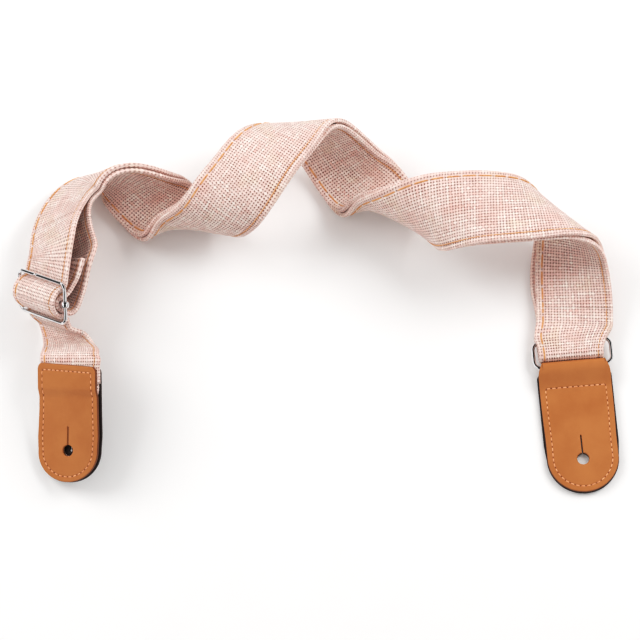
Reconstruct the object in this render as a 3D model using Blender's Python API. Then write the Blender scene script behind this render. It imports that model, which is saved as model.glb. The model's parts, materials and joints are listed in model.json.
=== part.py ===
"""Guitar strap: one doubled linen strap, curled into a loose coil on a table.

The strap is a long linen band. Its outer run leaves the left leather tab, passes over the
centre bar of the length adjuster and coils along to the end ring; there it folds round the
ring and comes back as the inner run, whose end is sewn round the adjuster's centre bar.
A second leather tab hangs on the end ring.

Lengths are in millimetres and turned into metres by MM. The origin lies on the table under
the middle of the right tab, +X towards that tab, +Y away, +Z up.
"""
import math

import bmesh
import bpy
import numpy as np
from mathutils import Matrix, Vector

MM = 0.001

# strap
STRAP_W = 52.0          # width of the linen band
LAYER_T = 3.0           # thickness of one run
LAYER_GAP = 0.8         # gap between the outer and the inner run
COLUMNS = 6             # facets across a run
ROW = 7.5               # length of one facet along a run
JOINT_GAP = 2.4         # gap in the band at a flexing line

# The middle surface of the doubled strap, from the adjuster to the end ring:
# x, y, z of the centre line, then azimuth and elevation of the width direction in degrees.
STATIONS = [
    (-354.6, 97, 41, -22, 48), (-353.4, 119, 36, -24, 48), (-345, 141.5, 30, -30, 50),
    (-329, 158, 27.8, -26, 56), (-314.5, 161, 28, 0, 62), (-301, 157, 21.8, 24, 52),
    (-290, 149, 12.8, 36, 30), (-281, 142, 8.3, 36, 6), (-272, 134, 10.1, 28, -10),
    (-265, 129, 16, 14, -26), (-256.5, 123.5, 28, -4, -38), (-245, 123, 43, -20, -30),
    (-237, 130.5, 54, -30, -14), (-229, 142, 60, -37, -2), (-214, 164.5, 62, -37, 10),
    (-204.5, 175, 58, -35, 20), (-194, 184.5, 51, -24, 32), (-181.5, 190, 40, -2, 44),
    (-168, 183.5, 26.2, 15, 45), (-153.5, 172.5, 13.6, 28, 32), (-142, 160, 8.8, 32, 13),
    (-132, 144.5, 13, 8, -17), (-124, 131.5, 26, -16, -38), (-113, 125, 41, -42, -32),
    (-97.5, 125, 54, -68, -14), (-76, 127, 60, -86, 0), (-50, 127.5, 61, -90, 8),
    (-30.5, 128, 56, -80, 20), (-16, 128, 46, -62, 36), (-6.5, 124, 32, -36, 44),
    (-2, 115, 19, -16, 30), (-3, 100.5, 12, -4, 16), (-3.1, 79, 8, 2, 6),
    (-4.1, 61, 6.2, 5.5, 0),
]
SAMPLE = 2.0            # sampling step of the middle surface
SMOOTH_CENTRE = 8.0     # smoothing length of the centre line
SMOOTH_WIDTH = 14.0     # smoothing length of the width direction
SMOOTH_CURVE = 6.0      # smoothing length of its bend and twist
SMOOTH_CROWN = 10.0     # smoothing length of the curvature across the band
MAX_CROWN = 1 / 60      # largest curvature across the band
LEAST_BEND = 0.01       # below this curvature the band counts as flat along its length

# lines along the strap, measured from the adjuster end of the middle surface
ADJUSTER_END = 7.0      # the strap lengths that travel with the adjuster end here
SLIDE_CUT = 16.5        # the strap above the adjuster starts here
LEFT_FLEX = 38.0        # flexing line between the coil and the left end
RIGHT_FLEX_BACK = 26.0  # flexing line of the right end, back from the ring end
BULGE = 11.0            # how far the inner run hangs away from the outer one at the adjuster
BULGE_END = 37.0        # where the two runs meet again
SLIP = 3.0              # sideways shift of the outer run under the right end
SLIP_FROM = 80.0        # the shift begins this far back from the ring end
SLIP_GROWS = 25.0       # and is complete over this length
SLIP_FADES = 30.0       # it fades out over this length before the ring
RING_CUT = 1.5          # the runs stop this short of the ring fold

# length adjuster: a wire frame with a centre bar
ADJUSTER_AT = (-360.4, 71.5, 33.8)
ADJUSTER_W = (-36.0, 43.0)      # azimuth and elevation of its bars
ADJUSTER_UP = (-0.1, 0.87, 0.47)
FRAME_L = 54.0          # between the side wires' centres
FRAME_H = 26.0          # between the outer bars' centres
FRAME_WIRE = 1.3        # wire radius
FRAME_CORNER = 4.5
BAR_R = 1.2             # centre bar radius
BALL_R = 2.7            # crimped ball at each end of the centre bar
EYE_PLAY = 0.25         # play of the side wires in the balls' eyes
HUMP_W = STRAP_W - 3.5  # the band is a little gathered where it passes the frame
LOOP_W = STRAP_W - 4.5

# Upper half of the outer run's path through the frame, seen from the side: distance up the
# strap from the centre bar, height over the frame's plane. It dips under the outer bar and
# rises over the centre bar to HUMP_TOP.
HUMP_SIDE = [(15.5, -4.5), (13.0, -3.9), (11.1, -3.2), (9.9, -1.9), (9.4, 0.2), (8.4, 2.5),
             (6.2, 4.9), (3.3, 6.6)]
HUMP_TOP = 7.2
HUMP_TAIL = [(-16.0, -4.8), (-19.0, -6.6)]

# The inner run's end from above: down to the centre bar, round it and back between the runs.
LOOP_SIDE = [(16.0, -18.5), (8.0, -13.2), (1.0, -8.6), (-2.4, -3.9), (-3.3, -0.7), (-2.2, 2.3),
             (0.4, 3.3), (2.8, 1.9), (3.5, -1.1), (5.0, -4.9), (10.2, -10.2), (18.2, -15.5),
             (24.0, -19.3)]

# The outer run below the adjuster: start and direction point in the adjuster's own frame
# (across, up the strap, out), and how far it runs straight above the left tab.
LOWER_START = (2.0, -25.0, -7.4)
LOWER_HEADS = (5.0, -30.0, -6.0)
LOWER_STRAIGHT = 8.0

# end ring
RING_AT = (-3.8, 40.6, 6.0)
RING_AZ = 5.0
RING_L = 52.6           # between wire centres
RING_H = 18.0
RING_WIRE = 1.2
RING_CORNER = 5.0
FOLD_REACH = 14.0       # from the ring's upper bar to the end of the strap's turn
FOLD_PLAY = 0.5         # gap between the ring wire and the band
RING_FIT = 43.0         # width of the band where it passes the ring

# leather tabs
TAB_W = 50.0
TAB_L = 88.0            # from the top edge or ring bar to the rounded end
TAB_END_R = 24.5
LEATHER_T = 2.2
BACKING_T = 1.5
TAB_GAP = 0.3
HOLE_R = 4.0            # strap button hole
SLIT_L = 12.5
SLIT_W = 0.8
HOLE_AT = 64.8          # below the top edge or ring bar
STITCH_INSET = 4.0
STITCH_TOP = 14.0       # the right tab's stitching starts this far below the ring bar
TAB_STRAIGHT = 24.0     # the tab's sides reach their full width this far below the top
TAB_CORNER = 4.0
BACK_TOP = 3.0          # the right tab's backing starts this far below the ring bar
CURL_PLAY = 0.35        # gap between the ring wire and the leather curled over it
CURL_W = 42.0           # width of the curled leather

# Side view of the right tab's leather above its flat part: distance below the ring bar and
# height of the sheet's middle. It climbs from the table to the ring bar, and its end turns
# under the bar.
CURL_CLIMB = [(-15.0, 3.15), (-10.0, 4.9), (-6.0, 6.9), (-3.0, 8.2)]
CURL_UNDER = [(-3.5, 3.25), (-7.5, 2.98)]
CURL_END_T = 1.6        # thickness of the pared end under the bar
GROOVE_W = 1.3
GROOVE_D = 0.5
CUT_DEPTH = 20.0        # reach of the cutters above and below the tabs
THREAD_W = 0.8
LEFT_TAB_AT = (-340.9, 24.3, 36.1)
LEFT_TAB_W = (-12.7, 35.0)
LEFT_TAB_UP = (-0.03, 0.954, 0.3)
LEFT_TAB_CUT = 8.0      # the left tab is this much shorter at its top edge
INSERT_T = 2.7          # strap end held between the left tab's leathers
INSERT_INSET = 0.8      # and how far it stays inside the leather's edge

LINEN = (0.80, 0.62, 0.56)
LINEN_DARK = (0.66, 0.48, 0.43)
TAN = (0.55, 0.18, 0.045)
DARK = (0.03, 0.022, 0.02)
CHROME = (0.75, 0.75, 0.77)
THREAD = (0.80, 0.30, 0.10)


# ---------------------------------------------------------------- helpers

def clear_scene():
    for obj in list(bpy.data.objects):
        bpy.data.objects.remove(obj, do_unlink=True)


def collection(name):
    made = bpy.data.collections.new(name)
    bpy.context.scene.collection.children.link(made)
    return made


def material(name, colour, roughness, metallic=0.0):
    mat = bpy.data.materials.new(name)
    mat.use_nodes = True
    shader = mat.node_tree.nodes["Principled BSDF"]
    shader.inputs["Base Color"].default_value = (*colour, 1.0)
    shader.inputs["Roughness"].default_value = roughness
    shader.inputs["Metallic"].default_value = metallic
    return mat


def unit(a):
    return a / np.linalg.norm(a, axis=-1, keepdims=True)


def direction(azimuth, elevation):
    az, el = math.radians(azimuth), math.radians(elevation)
    return np.array([math.cos(el) * math.cos(az), math.cos(el) * math.sin(az), math.sin(el)])


def natural_spline(knots, values, at):
    """Natural cubic spline through values at knots, sampled at the places in at."""
    n = len(knots)
    h = np.diff(knots)
    a = np.eye(n)
    r = np.zeros((n, values.shape[1]))
    for i in range(1, n - 1):
        a[i, i - 1:i + 2] = h[i - 1], 2 * (h[i - 1] + h[i]), h[i]
        r[i] = 6 * ((values[i + 1] - values[i]) / h[i] - (values[i] - values[i - 1]) / h[i - 1])
    m = np.linalg.solve(a, r)
    k = np.clip(np.searchsorted(knots, at, side="right") - 1, 0, n - 2)
    t = (at - knots[k])[:, None]
    hk = h[k][:, None]
    cubic = (m[k + 1] - m[k]) / (6 * hk)
    linear = (values[k + 1] - values[k]) / hk - hk * (2 * m[k] + m[k + 1]) / 6
    return ((cubic * t + m[k] / 2) * t + linear) * t + values[k]


def smoothed(rows, length):
    """Gaussian smoothing along the rows; the ends are continued in a straight line."""
    sigma = length / SAMPLE
    n = int(3 * sigma) + 1
    kernel = np.exp(-0.5 * (np.arange(-n, n + 1) / sigma) ** 2)
    kernel /= kernel.sum()
    before = 2 * rows[0] - rows[1:n + 1][::-1]
    after = 2 * rows[-1] - rows[-n - 1:-1][::-1]
    padded = np.vstack([before, rows, after])
    return np.stack([np.convolve(c, kernel, "valid") for c in padded.T], axis=1)


def smoothstep(x):
    x = min(1.0, max(0.0, x))
    return x * x * (3 - 2 * x)


class Middle:
    """The middle surface of the doubled strap, sampled evenly along its length."""

    def __init__(self, stations):
        table = np.array(stations, float)
        centre = table[:, :3]
        width = np.array([direction(az, el) for az, el in table[:, 3:]])
        knots = np.concatenate([[0], np.cumsum(np.linalg.norm(np.diff(centre, axis=0), axis=1))])
        fine = np.linspace(0, knots[-1], 4000)
        curve = natural_spline(knots, centre, fine)
        along = np.concatenate([[0], np.cumsum(np.linalg.norm(np.diff(curve, axis=0), axis=1))])
        even = np.linspace(0, along[-1], int(round(along[-1] / SAMPLE)) + 1)
        at = np.interp(even, along, fine)
        self.centre = smoothed(natural_spline(knots, centre, at), SMOOTH_CENTRE)
        wide = smoothed(unit(natural_spline(knots, width, at)), SMOOTH_WIDTH)
        steps = np.linalg.norm(np.diff(self.centre, axis=0), axis=1)
        self.s = np.concatenate([[0], np.cumsum(steps)])
        self.length = self.s[-1]
        self.along = unit(np.gradient(self.centre, self.s, axis=0))
        dot = np.sum(wide * self.along, axis=1)[:, None]
        self.width = unit(wide - dot * self.along)
        self.out = np.cross(self.width, self.along)
        bend = -np.sum(np.gradient(self.along, self.s, axis=0) * self.out, axis=1)
        twist = np.sum(np.gradient(self.width, self.s, axis=0) * self.out, axis=1)
        bend = smoothed(bend[:, None], SMOOTH_CURVE)[:, 0]
        twist = smoothed(twist[:, None], SMOOTH_CURVE)[:, 0]
        crown = twist ** 2 * bend / (bend ** 2 + LEAST_BEND ** 2)
        crown = np.clip(crown, -MAX_CROWN, MAX_CROWN)
        self.crown = smoothed(crown[:, None], SMOOTH_CROWN)[:, 0]

    def at(self, s, rows):
        return np.array([np.interp(s, self.s, c) for c in np.atleast_2d(rows.T)])

    def section(self, s, shift=0.0, offset=0.0):
        """Centre, width and outward direction and crown of one crosswise line."""
        width = unit(self.at(s, self.width))
        out = unit(self.at(s, self.out))
        centre = self.at(s, self.centre) + shift * width + offset * out
        return centre, width, out, float(self.at(s, self.crown)[0])


def crosswise(section, v_list):
    """Points of the surface across a section, at the distances v_list from its centre."""
    centre, width, out, crown = section
    return [centre + v * width - 0.5 * crown * v * v * out for v in v_list]


def band(name, sections, mat, parts, thickness=LAYER_T, offsets=None, widths=None):
    """Closed solid swept through crosswise sections, lifted along the surface's normals."""
    grid = []
    for i, section in enumerate(sections):
        half = (widths[i] if widths else STRAP_W) / 2
        grid.append(crosswise(section, np.linspace(-half, half, COLUMNS + 1)))
    grid = np.array(grid)
    normal = unit(np.cross(np.gradient(grid, axis=1), np.gradient(grid, axis=0)))
    lift = np.array(offsets if offsets else [0.0] * len(sections))[:, None, None]
    top = grid + (lift + thickness / 2) * normal
    bottom = grid + (lift - thickness / 2) * normal
    verts = list(top.reshape(-1, 3)) + list(bottom.reshape(-1, 3))
    rows, cols = len(sections), COLUMNS + 1
    low = rows * cols
    faces = []
    for i in range(rows - 1):
        for j in range(COLUMNS):
            a = i * cols + j
            b, c, d = a + 1, a + cols + 1, a + cols
            faces.append((a, b, c, d))
            faces.append((low + a, low + d, low + c, low + b))
        for edge in (0, COLUMNS):
            a = i * cols + edge
            d = a + cols
            side = (a, d, low + d, low + a)
            faces.append(side if edge == 0 else side[::-1])
    for i in (0, rows - 1):
        for j in range(COLUMNS):
            a = i * cols + j
            end = (a, low + a, low + a + 1, a + 1)
            faces.append(end if i == 0 else end[::-1])
    mesh = bpy.data.meshes.new(name)
    mesh.from_pydata([Vector(p) * MM for p in verts], [], faces)
    bm = bmesh.new()
    bm.from_mesh(mesh)
    bmesh.ops.recalc_face_normals(bm, faces=bm.faces)
    bm.to_mesh(mesh)
    bm.free()
    return place(name, mesh, mat, parts)


def place(name, mesh, mat, parts, matrix=None):
    obj = bpy.data.objects.new(name, mesh)
    if mat:
        mesh.materials.append(mat)
    if matrix is not None:
        obj.matrix_world = matrix
    parts.objects.link(obj)
    return obj


def sections_from_path(centres, widths):
    """Straight sections at centre points, lying along the given width directions."""
    return [(np.array(c), unit(w), np.zeros(3), 0.0) for c, w in zip(centres, widths)]


def run(middle, start, end, shift_of=None):
    """Sections of the middle surface between two places along it, and those places."""
    count = max(2, int(math.ceil((end - start) / ROW)) + 1)
    places = np.linspace(start, end, count)
    return [middle.section(s, shift_of(s) if shift_of else 0.0) for s in places], places


def local_frame(at, width, up):
    """Matrix whose X is the width, Y the way up the strap and Z the outward normal."""
    w = unit(np.array(width))
    u = unit(np.array(up) - np.dot(up, w) * w)
    n = np.cross(w, u)
    m = Matrix.Identity(4)
    for i in range(3):
        m[i][0], m[i][1], m[i][2], m[i][3] = w[i], u[i], n[i], at[i] * MM
    return m


def to_world(matrix, x, y, z):
    return np.array(matrix @ Vector((x * MM, y * MM, z * MM))) / MM


def wire_loop(name, half_l, half_h, corner, wire, mat, parts, matrix):
    """Closed wire with rounded corners in the local XY plane."""
    points = []
    for cx, cy, begin in ((1, 1, 0), (-1, 1, 90), (-1, -1, 180), (1, -1, 270)):
        for step in range(5):
            angle = math.radians(begin + 22.5 * step)
            points.append((cx * (half_l - corner) + corner * math.cos(angle),
                           cy * (half_h - corner) + corner * math.sin(angle)))
    curve = bpy.data.curves.new(name, "CURVE")
    curve.dimensions = "3D"
    spline = curve.splines.new("POLY")
    spline.points.add(len(points) - 1)
    for point, (x, y) in zip(spline.points, points):
        point.co = (x * MM, y * MM, 0, 1)
    spline.use_cyclic_u = True
    curve.bevel_depth = wire * MM
    curve.bevel_resolution = 2
    return place(name, curve, mat, parts, matrix)


def cylinder(bm, radius, length, matrix, segments=16):
    bmesh.ops.create_cone(bm, cap_ends=True, segments=segments, radius1=radius * MM,
                          radius2=radius * MM, depth=length * MM, matrix=matrix)


def mesh_object(name, build, mat, group, matrix=None):
    mesh = bpy.data.meshes.new(name)
    bm = bmesh.new()
    build(bm)
    bmesh.ops.recalc_face_normals(bm, faces=bm.faces)
    bm.to_mesh(mesh)
    bm.free()
    return place(name, mesh, mat, group, matrix)


def prism(bm, outline, z0, z1):
    """Closed prism over an outline in the XY plane."""
    low = [bm.verts.new((x * MM, y * MM, z0 * MM)) for x, y in outline]
    high = [bm.verts.new((x * MM, y * MM, z1 * MM)) for x, y in outline]
    bm.faces.new(low)
    bm.faces.new(high)
    n = len(outline)
    for i in range(n):
        j = (i + 1) % n
        bm.faces.new((low[i], low[j], high[j], high[i]))


def boolean(obj, cutter, operation):
    cutter.hide_render = True
    cutter.display_type = "WIRE"
    mod = obj.modifiers.new(operation.title(), "BOOLEAN")
    mod.operation = operation
    mod.solver = "EXACT"
    mod.object = cutter


# ---------------------------------------------------------------- tab shapes

def tab_outline(inset=0.0, top=0.0, corner=TAB_CORNER, top_w=TAB_W):
    """Tab outline in its own plane: top edge at y = top, rounded end at y = -TAB_L."""
    half = TAB_W / 2 - inset
    top_half = top_w / 2 - inset
    end_r = TAB_END_R - inset
    centre_y = -TAB_L + TAB_END_R
    points = []
    for sign, begin in ((1, 0), (-1, 90)):
        for step in range(4):
            angle = math.radians(begin + 30 * step)
            points.append((sign * (top_half - corner) + corner * math.cos(angle),
                           top - corner + corner * math.sin(angle)))
    points.append((-half, top - TAB_STRAIGHT))
    for step in range(13):
        angle = math.radians(180 + 15 * step)
        points.append((end_r * math.cos(angle), centre_y + end_r * math.sin(angle)))
    points.append((half, top - TAB_STRAIGHT))
    return points


def keyhole():
    """Button hole with its slit, as one outline."""
    open_angle = math.degrees(math.asin(SLIT_W / 2 / HOLE_R))
    points = []
    steps = 18
    for step in range(steps + 1):
        angle = math.radians(90 + open_angle + (360 - 2 * open_angle) * step / steps)
        points.append((HOLE_R * math.cos(angle), -HOLE_AT + HOLE_R * math.sin(angle)))
    points.append((SLIT_W / 2, -HOLE_AT + HOLE_R + SLIT_L))
    points.append((-SLIT_W / 2, -HOLE_AT + HOLE_R + SLIT_L))
    return points


def ring_prism(bm, outer, inner, z0, z1):
    """Closed frame between two outlines with the same number of points."""
    n = len(outer)
    loops = []
    for outline, z in ((outer, z0), (inner, z0), (inner, z1), (outer, z1)):
        loops.append([bm.verts.new((x * MM, y * MM, z * MM)) for x, y in outline])
    for k in range(4):
        a, b = loops[k], loops[(k + 1) % 4]
        for i in range(n):
            j = (i + 1) % n
            bm.faces.new((a[i], a[j], b[j], b[i]))


def stitch_line(half_w, top):
    """Outer and inner outline of a line that runs round a tab at the stitching's distance."""
    return [tab_outline(STITCH_INSET - side, top + side, TAB_CORNER - 1 + side)
            for side in (half_w, -half_w)]


def stitch_groove(obj, name, surface, matrix, top, cutters):
    """Groove for the stitching, cut into a leather face at height surface."""
    outer, inner = stitch_line(GROOVE_W / 2, top)
    cutter = mesh_object(name, lambda bm: ring_prism(bm, outer, inner, surface - GROOVE_D,
                                                     surface + 1.0), None, cutters, matrix)
    boolean(obj, cutter, "DIFFERENCE")


def stitch_thread(name, surface, matrix, top, mat, parts):
    """Thread line lying in its groove, a little below the leather face."""
    outer, inner = stitch_line(THREAD_W / 2, top)
    return mesh_object(name, lambda bm: ring_prism(bm, outer, inner, surface - GROOVE_D + 0.1,
                                                   surface - 0.05), mat, parts, matrix)


# ---------------------------------------------------------------- the strap runs

def strap_runs(middle, mats, parts):
    """Outer and inner run of the band in three lengths, cut at the two flexing lines."""
    lift = (LAYER_GAP + LAYER_T) / 2
    right_flex = middle.length - RIGHT_FLEX_BACK
    half_gap = JOINT_GAP / 2

    def bulge(s):
        return BULGE * (1 - smoothstep(s / BULGE_END))

    def slip(s):
        back = middle.length - s
        return -SLIP * smoothstep((SLIP_FROM - back) / SLIP_GROWS) * smoothstep(back / SLIP_FADES)

    lengths = {
        "left": (SLIDE_CUT, LEFT_FLEX - half_gap),
        "coil": (LEFT_FLEX + half_gap, right_flex - half_gap),
        "right": (right_flex + half_gap, middle.length - RING_CUT),
    }
    for place_name, (start, end) in lengths.items():
        sections, places = run(middle, start, end, slip)
        band("outer_strap_" + place_name, sections, mats["linen"], parts,
             offsets=[lift] * len(places))
        sections, places = run(middle, start, end)
        band("inner_strap_" + place_name, sections, mats["linen_inner"], parts,
             offsets=[-lift - bulge(s) for s in places])


def ring_fold(middle, mats, parts):
    """The turn of the band round the end ring's upper bar, drawn in the ring's own frame."""
    m = ring_matrix()
    bars = np.array(m.to_3x3() @ Vector((1, 0, 0)))
    lift = (LAYER_GAP + LAYER_T) / 2
    spread = RING_WIRE + FOLD_PLAY + LAYER_T / 2
    bar_y = RING_H / 2
    turn_y = bar_y - FOLD_REACH + spread + LAYER_T / 2
    leg = [(bar_y + LAYER_T, spread), (bar_y, spread), (turn_y + LAYER_T / 2, spread)]
    turn = [(turn_y - spread * math.sin(math.radians(a)), spread * math.cos(math.radians(a)))
            for a in range(0, 181, 20)]
    profile = leg + turn + [(y, -z) for y, z in reversed(leg)]
    first, first_w, _, _ = middle.section(middle.length, offset=-lift)
    last = middle.section(middle.length, offset=lift)[0]
    centres = [first] + [to_world(m, 0, y, z) for y, z in profile] + [last]
    widths_at = [STRAP_W, RING_FIT + 3.0] + [RING_FIT] * (len(profile) - 2)
    widths_at += [RING_FIT + 3.0, STRAP_W]
    crosswise_at = [first_w] + [bars] * len(profile) + [first_w]
    band("strap_ring_fold", sections_from_path(centres, crosswise_at), mats["linen"], parts,
         widths=widths_at)


# ---------------------------------------------------------------- adjuster

def adjuster_matrix():
    return local_frame(ADJUSTER_AT, direction(*ADJUSTER_W), ADJUSTER_UP)


def adjuster_hardware(mats, parts, cutters):
    m = adjuster_matrix()
    wire_loop("adjuster_frame", FRAME_L / 2, FRAME_H / 2, FRAME_CORNER, FRAME_WIRE, mats["chrome"],
              parts, m)
    across = Matrix.Rotation(math.radians(90), 4, "Y")
    bar = mesh_object("adjuster_centre_bar",
                      lambda bm: cylinder(bm, BAR_R, FRAME_L, across), mats["chrome"], parts, m)
    for side, sign in (("left", -1), ("right", 1)):
        at_ball = Matrix.Translation((sign * FRAME_L / 2 * MM, 0, 0))

        def ball(bm, where=at_ball):
            bmesh.ops.create_uvsphere(bm, u_segments=14, v_segments=10, radius=BALL_R * MM,
                                      matrix=where)

        def eye(bm, where=at_ball):
            turn = Matrix.Rotation(math.radians(90), 4, "X")
            cylinder(bm, FRAME_WIRE + EYE_PLAY, 4 * BALL_R, where @ turn)

        boolean(bar, mesh_object("centre_bar_ball_" + side, ball, None, cutters, m), "UNION")
        boolean(bar, mesh_object("centre_bar_eye_" + side, eye, None, cutters, m), "DIFFERENCE")


def strap_hump(middle, mats, parts):
    """Outer run: in under the top bar, over the centre bar, out under the bottom bar."""
    m = adjuster_matrix()
    lift = (LAYER_GAP + LAYER_T) / 2
    start, start_w, _, _ = middle.section(ADJUSTER_END, offset=lift)
    profile = HUMP_SIDE + [(0.0, HUMP_TOP)] + [(-y, z) for y, z in reversed(HUMP_SIDE[1:])]
    profile += HUMP_TAIL
    bars = np.array(m.to_3x3() @ Vector((1, 0, 0)))
    centres = [start] + [to_world(m, 0, y, z) for y, z in profile]
    centres.insert(1, (centres[0] + centres[1]) / 2)
    blend = [start_w, unit(start_w + bars)] + [bars] * len(profile)
    band("outer_strap_hump", sections_from_path(centres, blend), mats["linen"], parts,
         widths=[STRAP_W, (STRAP_W + HUMP_W) / 2] + [HUMP_W] * len(profile))


def end_loop(middle, mats, parts):
    """Inner run's end: down to the centre bar, round it and sewn back on itself."""
    m = adjuster_matrix()
    lift = (LAYER_GAP + LAYER_T) / 2
    start, start_w, _, _ = middle.section(ADJUSTER_END, offset=-lift - BULGE)
    bars = np.array(m.to_3x3() @ Vector((1, 0, 0)))
    centres = [start] + [to_world(m, 0, y, z) for y, z in LOOP_SIDE]
    between = unit(start_w + bars)
    blend = [start_w, between] + [bars] * (len(LOOP_SIDE) - 2) + [between]
    band("inner_strap_end_loop", sections_from_path(centres, blend), mats["linen_inner"], parts,
         widths=[STRAP_W] * 2 + [LOOP_W] * (len(LOOP_SIDE) - 1))


def lower_strap(mats, parts):
    """Outer run from the adjuster down to the left tab."""
    m = adjuster_matrix()
    tab_w = direction(*LEFT_TAB_W)
    bars = np.array(m.to_3x3() @ Vector((1, 0, 0)))
    start = to_world(m, *LOWER_START)
    heads = to_world(m, *LOWER_HEADS)
    end = to_world(left_tab_matrix(), 0, JOINT_GAP / 2, 0)
    above = to_world(left_tab_matrix(), 0, JOINT_GAP / 2 + LOWER_STRAIGHT, 0)
    steps = 6
    centres = []
    widths = []
    breadths = []
    for step in range(steps):
        t = step / (steps - 1)
        u = 1 - t
        centres.append(u ** 3 * start + 3 * u * u * t * heads + 3 * u * t * t * above + t ** 3 * end)
        widths.append(unit(u * bars + t * tab_w))
        breadths.append(u * HUMP_W + t * STRAP_W)
    band("outer_strap_lower", sections_from_path(centres[::-1], widths[::-1]), mats["linen"],
         parts, widths=breadths[::-1], thickness=INSERT_T)


# ---------------------------------------------------------------- ring and tabs

def ring_matrix():
    return local_frame(RING_AT, direction(RING_AZ, 0.0), (0, 1, 0))


def end_ring(mats, parts):
    wire_loop("end_ring", RING_L / 2, RING_H / 2, RING_CORNER, RING_WIRE, mats["chrome"], parts,
              ring_matrix())


def right_tab(mats, parts, cutters):
    m = ring_matrix() @ Matrix.Translation((0, -RING_H / 2 * MM, -RING_AT[2] * MM))
    bar_z = RING_AT[2]
    radius = RING_WIRE + CURL_PLAY + LEATHER_T / 2
    sheet_z = BACKING_T + TAB_GAP + LEATHER_T / 2
    over = [math.radians(a) for a in range(0, 181, 20)]
    path = [(-TAB_L - TAB_CORNER, sheet_z), (CURL_CLIMB[0][0] - TAB_CORNER, sheet_z)] + CURL_CLIMB
    path += [(radius * math.sin(a), bar_z + radius * math.cos(a)) for a in over] + CURL_UNDER
    c = np.array(path)
    t = unit(np.gradient(c, axis=0))
    normal = np.stack([-t[:, 1], t[:, 0]], axis=1)
    half_t = np.full((len(c), 1), LEATHER_T / 2)
    half_t[-2:] = CURL_END_T / 2
    outer = c + normal * half_t
    inner = c - normal * half_t

    def sheet(bm):
        loop = [tuple(p) for p in outer] + [tuple(p) for p in inner[::-1]]
        left = [bm.verts.new((-0.6 * TAB_W * MM, y * MM, z * MM)) for y, z in loop]
        right = [bm.verts.new((0.6 * TAB_W * MM, y * MM, z * MM)) for y, z in loop]
        rows = len(c)
        for side in (left, right):
            for i in range(rows - 1):
                bm.faces.new((side[i], side[i + 1], side[-i - 2], side[-i - 1]))
        n = len(loop)
        for i in range(n):
            j = (i + 1) % n
            bm.faces.new((left[i], left[j], right[j], right[i]))

    def trim(bm):
        prism(bm, tab_outline(top=2 * radius, top_w=CURL_W), -CUT_DEPTH, CUT_DEPTH)

    def hole(bm):
        prism(bm, keyhole(), -CUT_DEPTH, CUT_DEPTH)

    leather = mesh_object("right_tab_leather", sheet, mats["leather"], parts, m)
    boolean(leather, mesh_object("right_tab_trim", trim, None, cutters, m), "INTERSECT")
    keyhole_cutter = mesh_object("right_tab_keyhole", hole, None, cutters, m)
    boolean(leather, keyhole_cutter, "DIFFERENCE")
    face = sheet_z + LEATHER_T / 2
    stitch_groove(leather, "right_tab_groove", face, m, -STITCH_TOP, cutters)
    stitch_thread("right_tab_stitching", face, m, -STITCH_TOP, mats["thread"], parts)

    def back(bm):
        prism(bm, tab_outline(top=-BACK_TOP), 0.0, BACKING_T)

    backing = mesh_object("right_tab_backing", back, mats["backing"], parts, m)
    boolean(backing, keyhole_cutter, "DIFFERENCE")


def left_tab_matrix():
    return local_frame(LEFT_TAB_AT, direction(*LEFT_TAB_W), LEFT_TAB_UP)


def left_tab(mats, parts, cutters):
    m = left_tab_matrix() @ Matrix.Translation((0, LEFT_TAB_CUT * MM, 0))
    top = -JOINT_GAP / 2 - LEFT_TAB_CUT
    half = INSERT_T / 2

    def sheet(z0, z1, inset):
        return lambda bm: prism(bm, tab_outline(inset=inset, top=top), z0, z1)

    def hole(bm):
        prism(bm, keyhole(), -CUT_DEPTH, CUT_DEPTH)

    cutter = mesh_object("left_tab_keyhole", hole, None, cutters, m)
    face = half + TAB_GAP + LEATHER_T
    layers = (("left_tab_leather", face - LEATHER_T, face, 0.0, "leather"),
              ("left_tab_strap_end", -half, half, INSERT_INSET, "linen"),
              ("left_tab_backing", -half - TAB_GAP - BACKING_T, -half - TAB_GAP, 0.0, "backing"))
    for name, z0, z1, inset, look in layers:
        obj = mesh_object(name, sheet(z0, z1, inset), mats[look], parts, m)
        boolean(obj, cutter, "DIFFERENCE")
        if look == "leather":
            stitch_groove(obj, "left_tab_groove", face, m, top - STITCH_INSET, cutters)
    stitch_thread("left_tab_stitching", face, m, top - STITCH_INSET, mats["thread"], parts)


def main():
    clear_scene()
    parts = collection("guitar_strap")
    cutters = collection("cutters")
    mats = {
        "linen": material("linen", LINEN, 0.9),
        "linen_inner": material("linen_inner", LINEN_DARK, 0.9),
        "leather": material("tan_leather", TAN, 0.5),
        "backing": material("dark_backing", DARK, 0.7),
        "chrome": material("chrome", CHROME, 0.12, 1.0),
        "thread": material("orange_thread", THREAD, 0.6),
    }
    middle = Middle(STATIONS)
    strap_runs(middle, mats, parts)
    ring_fold(middle, mats, parts)
    adjuster_hardware(mats, parts, cutters)
    strap_hump(middle, mats, parts)
    end_loop(middle, mats, parts)
    lower_strap(mats, parts)
    end_ring(mats, parts)
    right_tab(mats, parts, cutters)
    left_tab(mats, parts, cutters)


main()
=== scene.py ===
"""Looks of the guitar strap: woven linen band, topstitching, leather tabs and chrome hardware.

Lengths are in millimetres and turned into metres by MM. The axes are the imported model's own:
the origin on the table under the right tab, +X towards that tab, +Y away from the tabs, +Z up.
"""
import json
import math

import bpy
import numpy as np
from mathutils import Matrix, Vector


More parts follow.
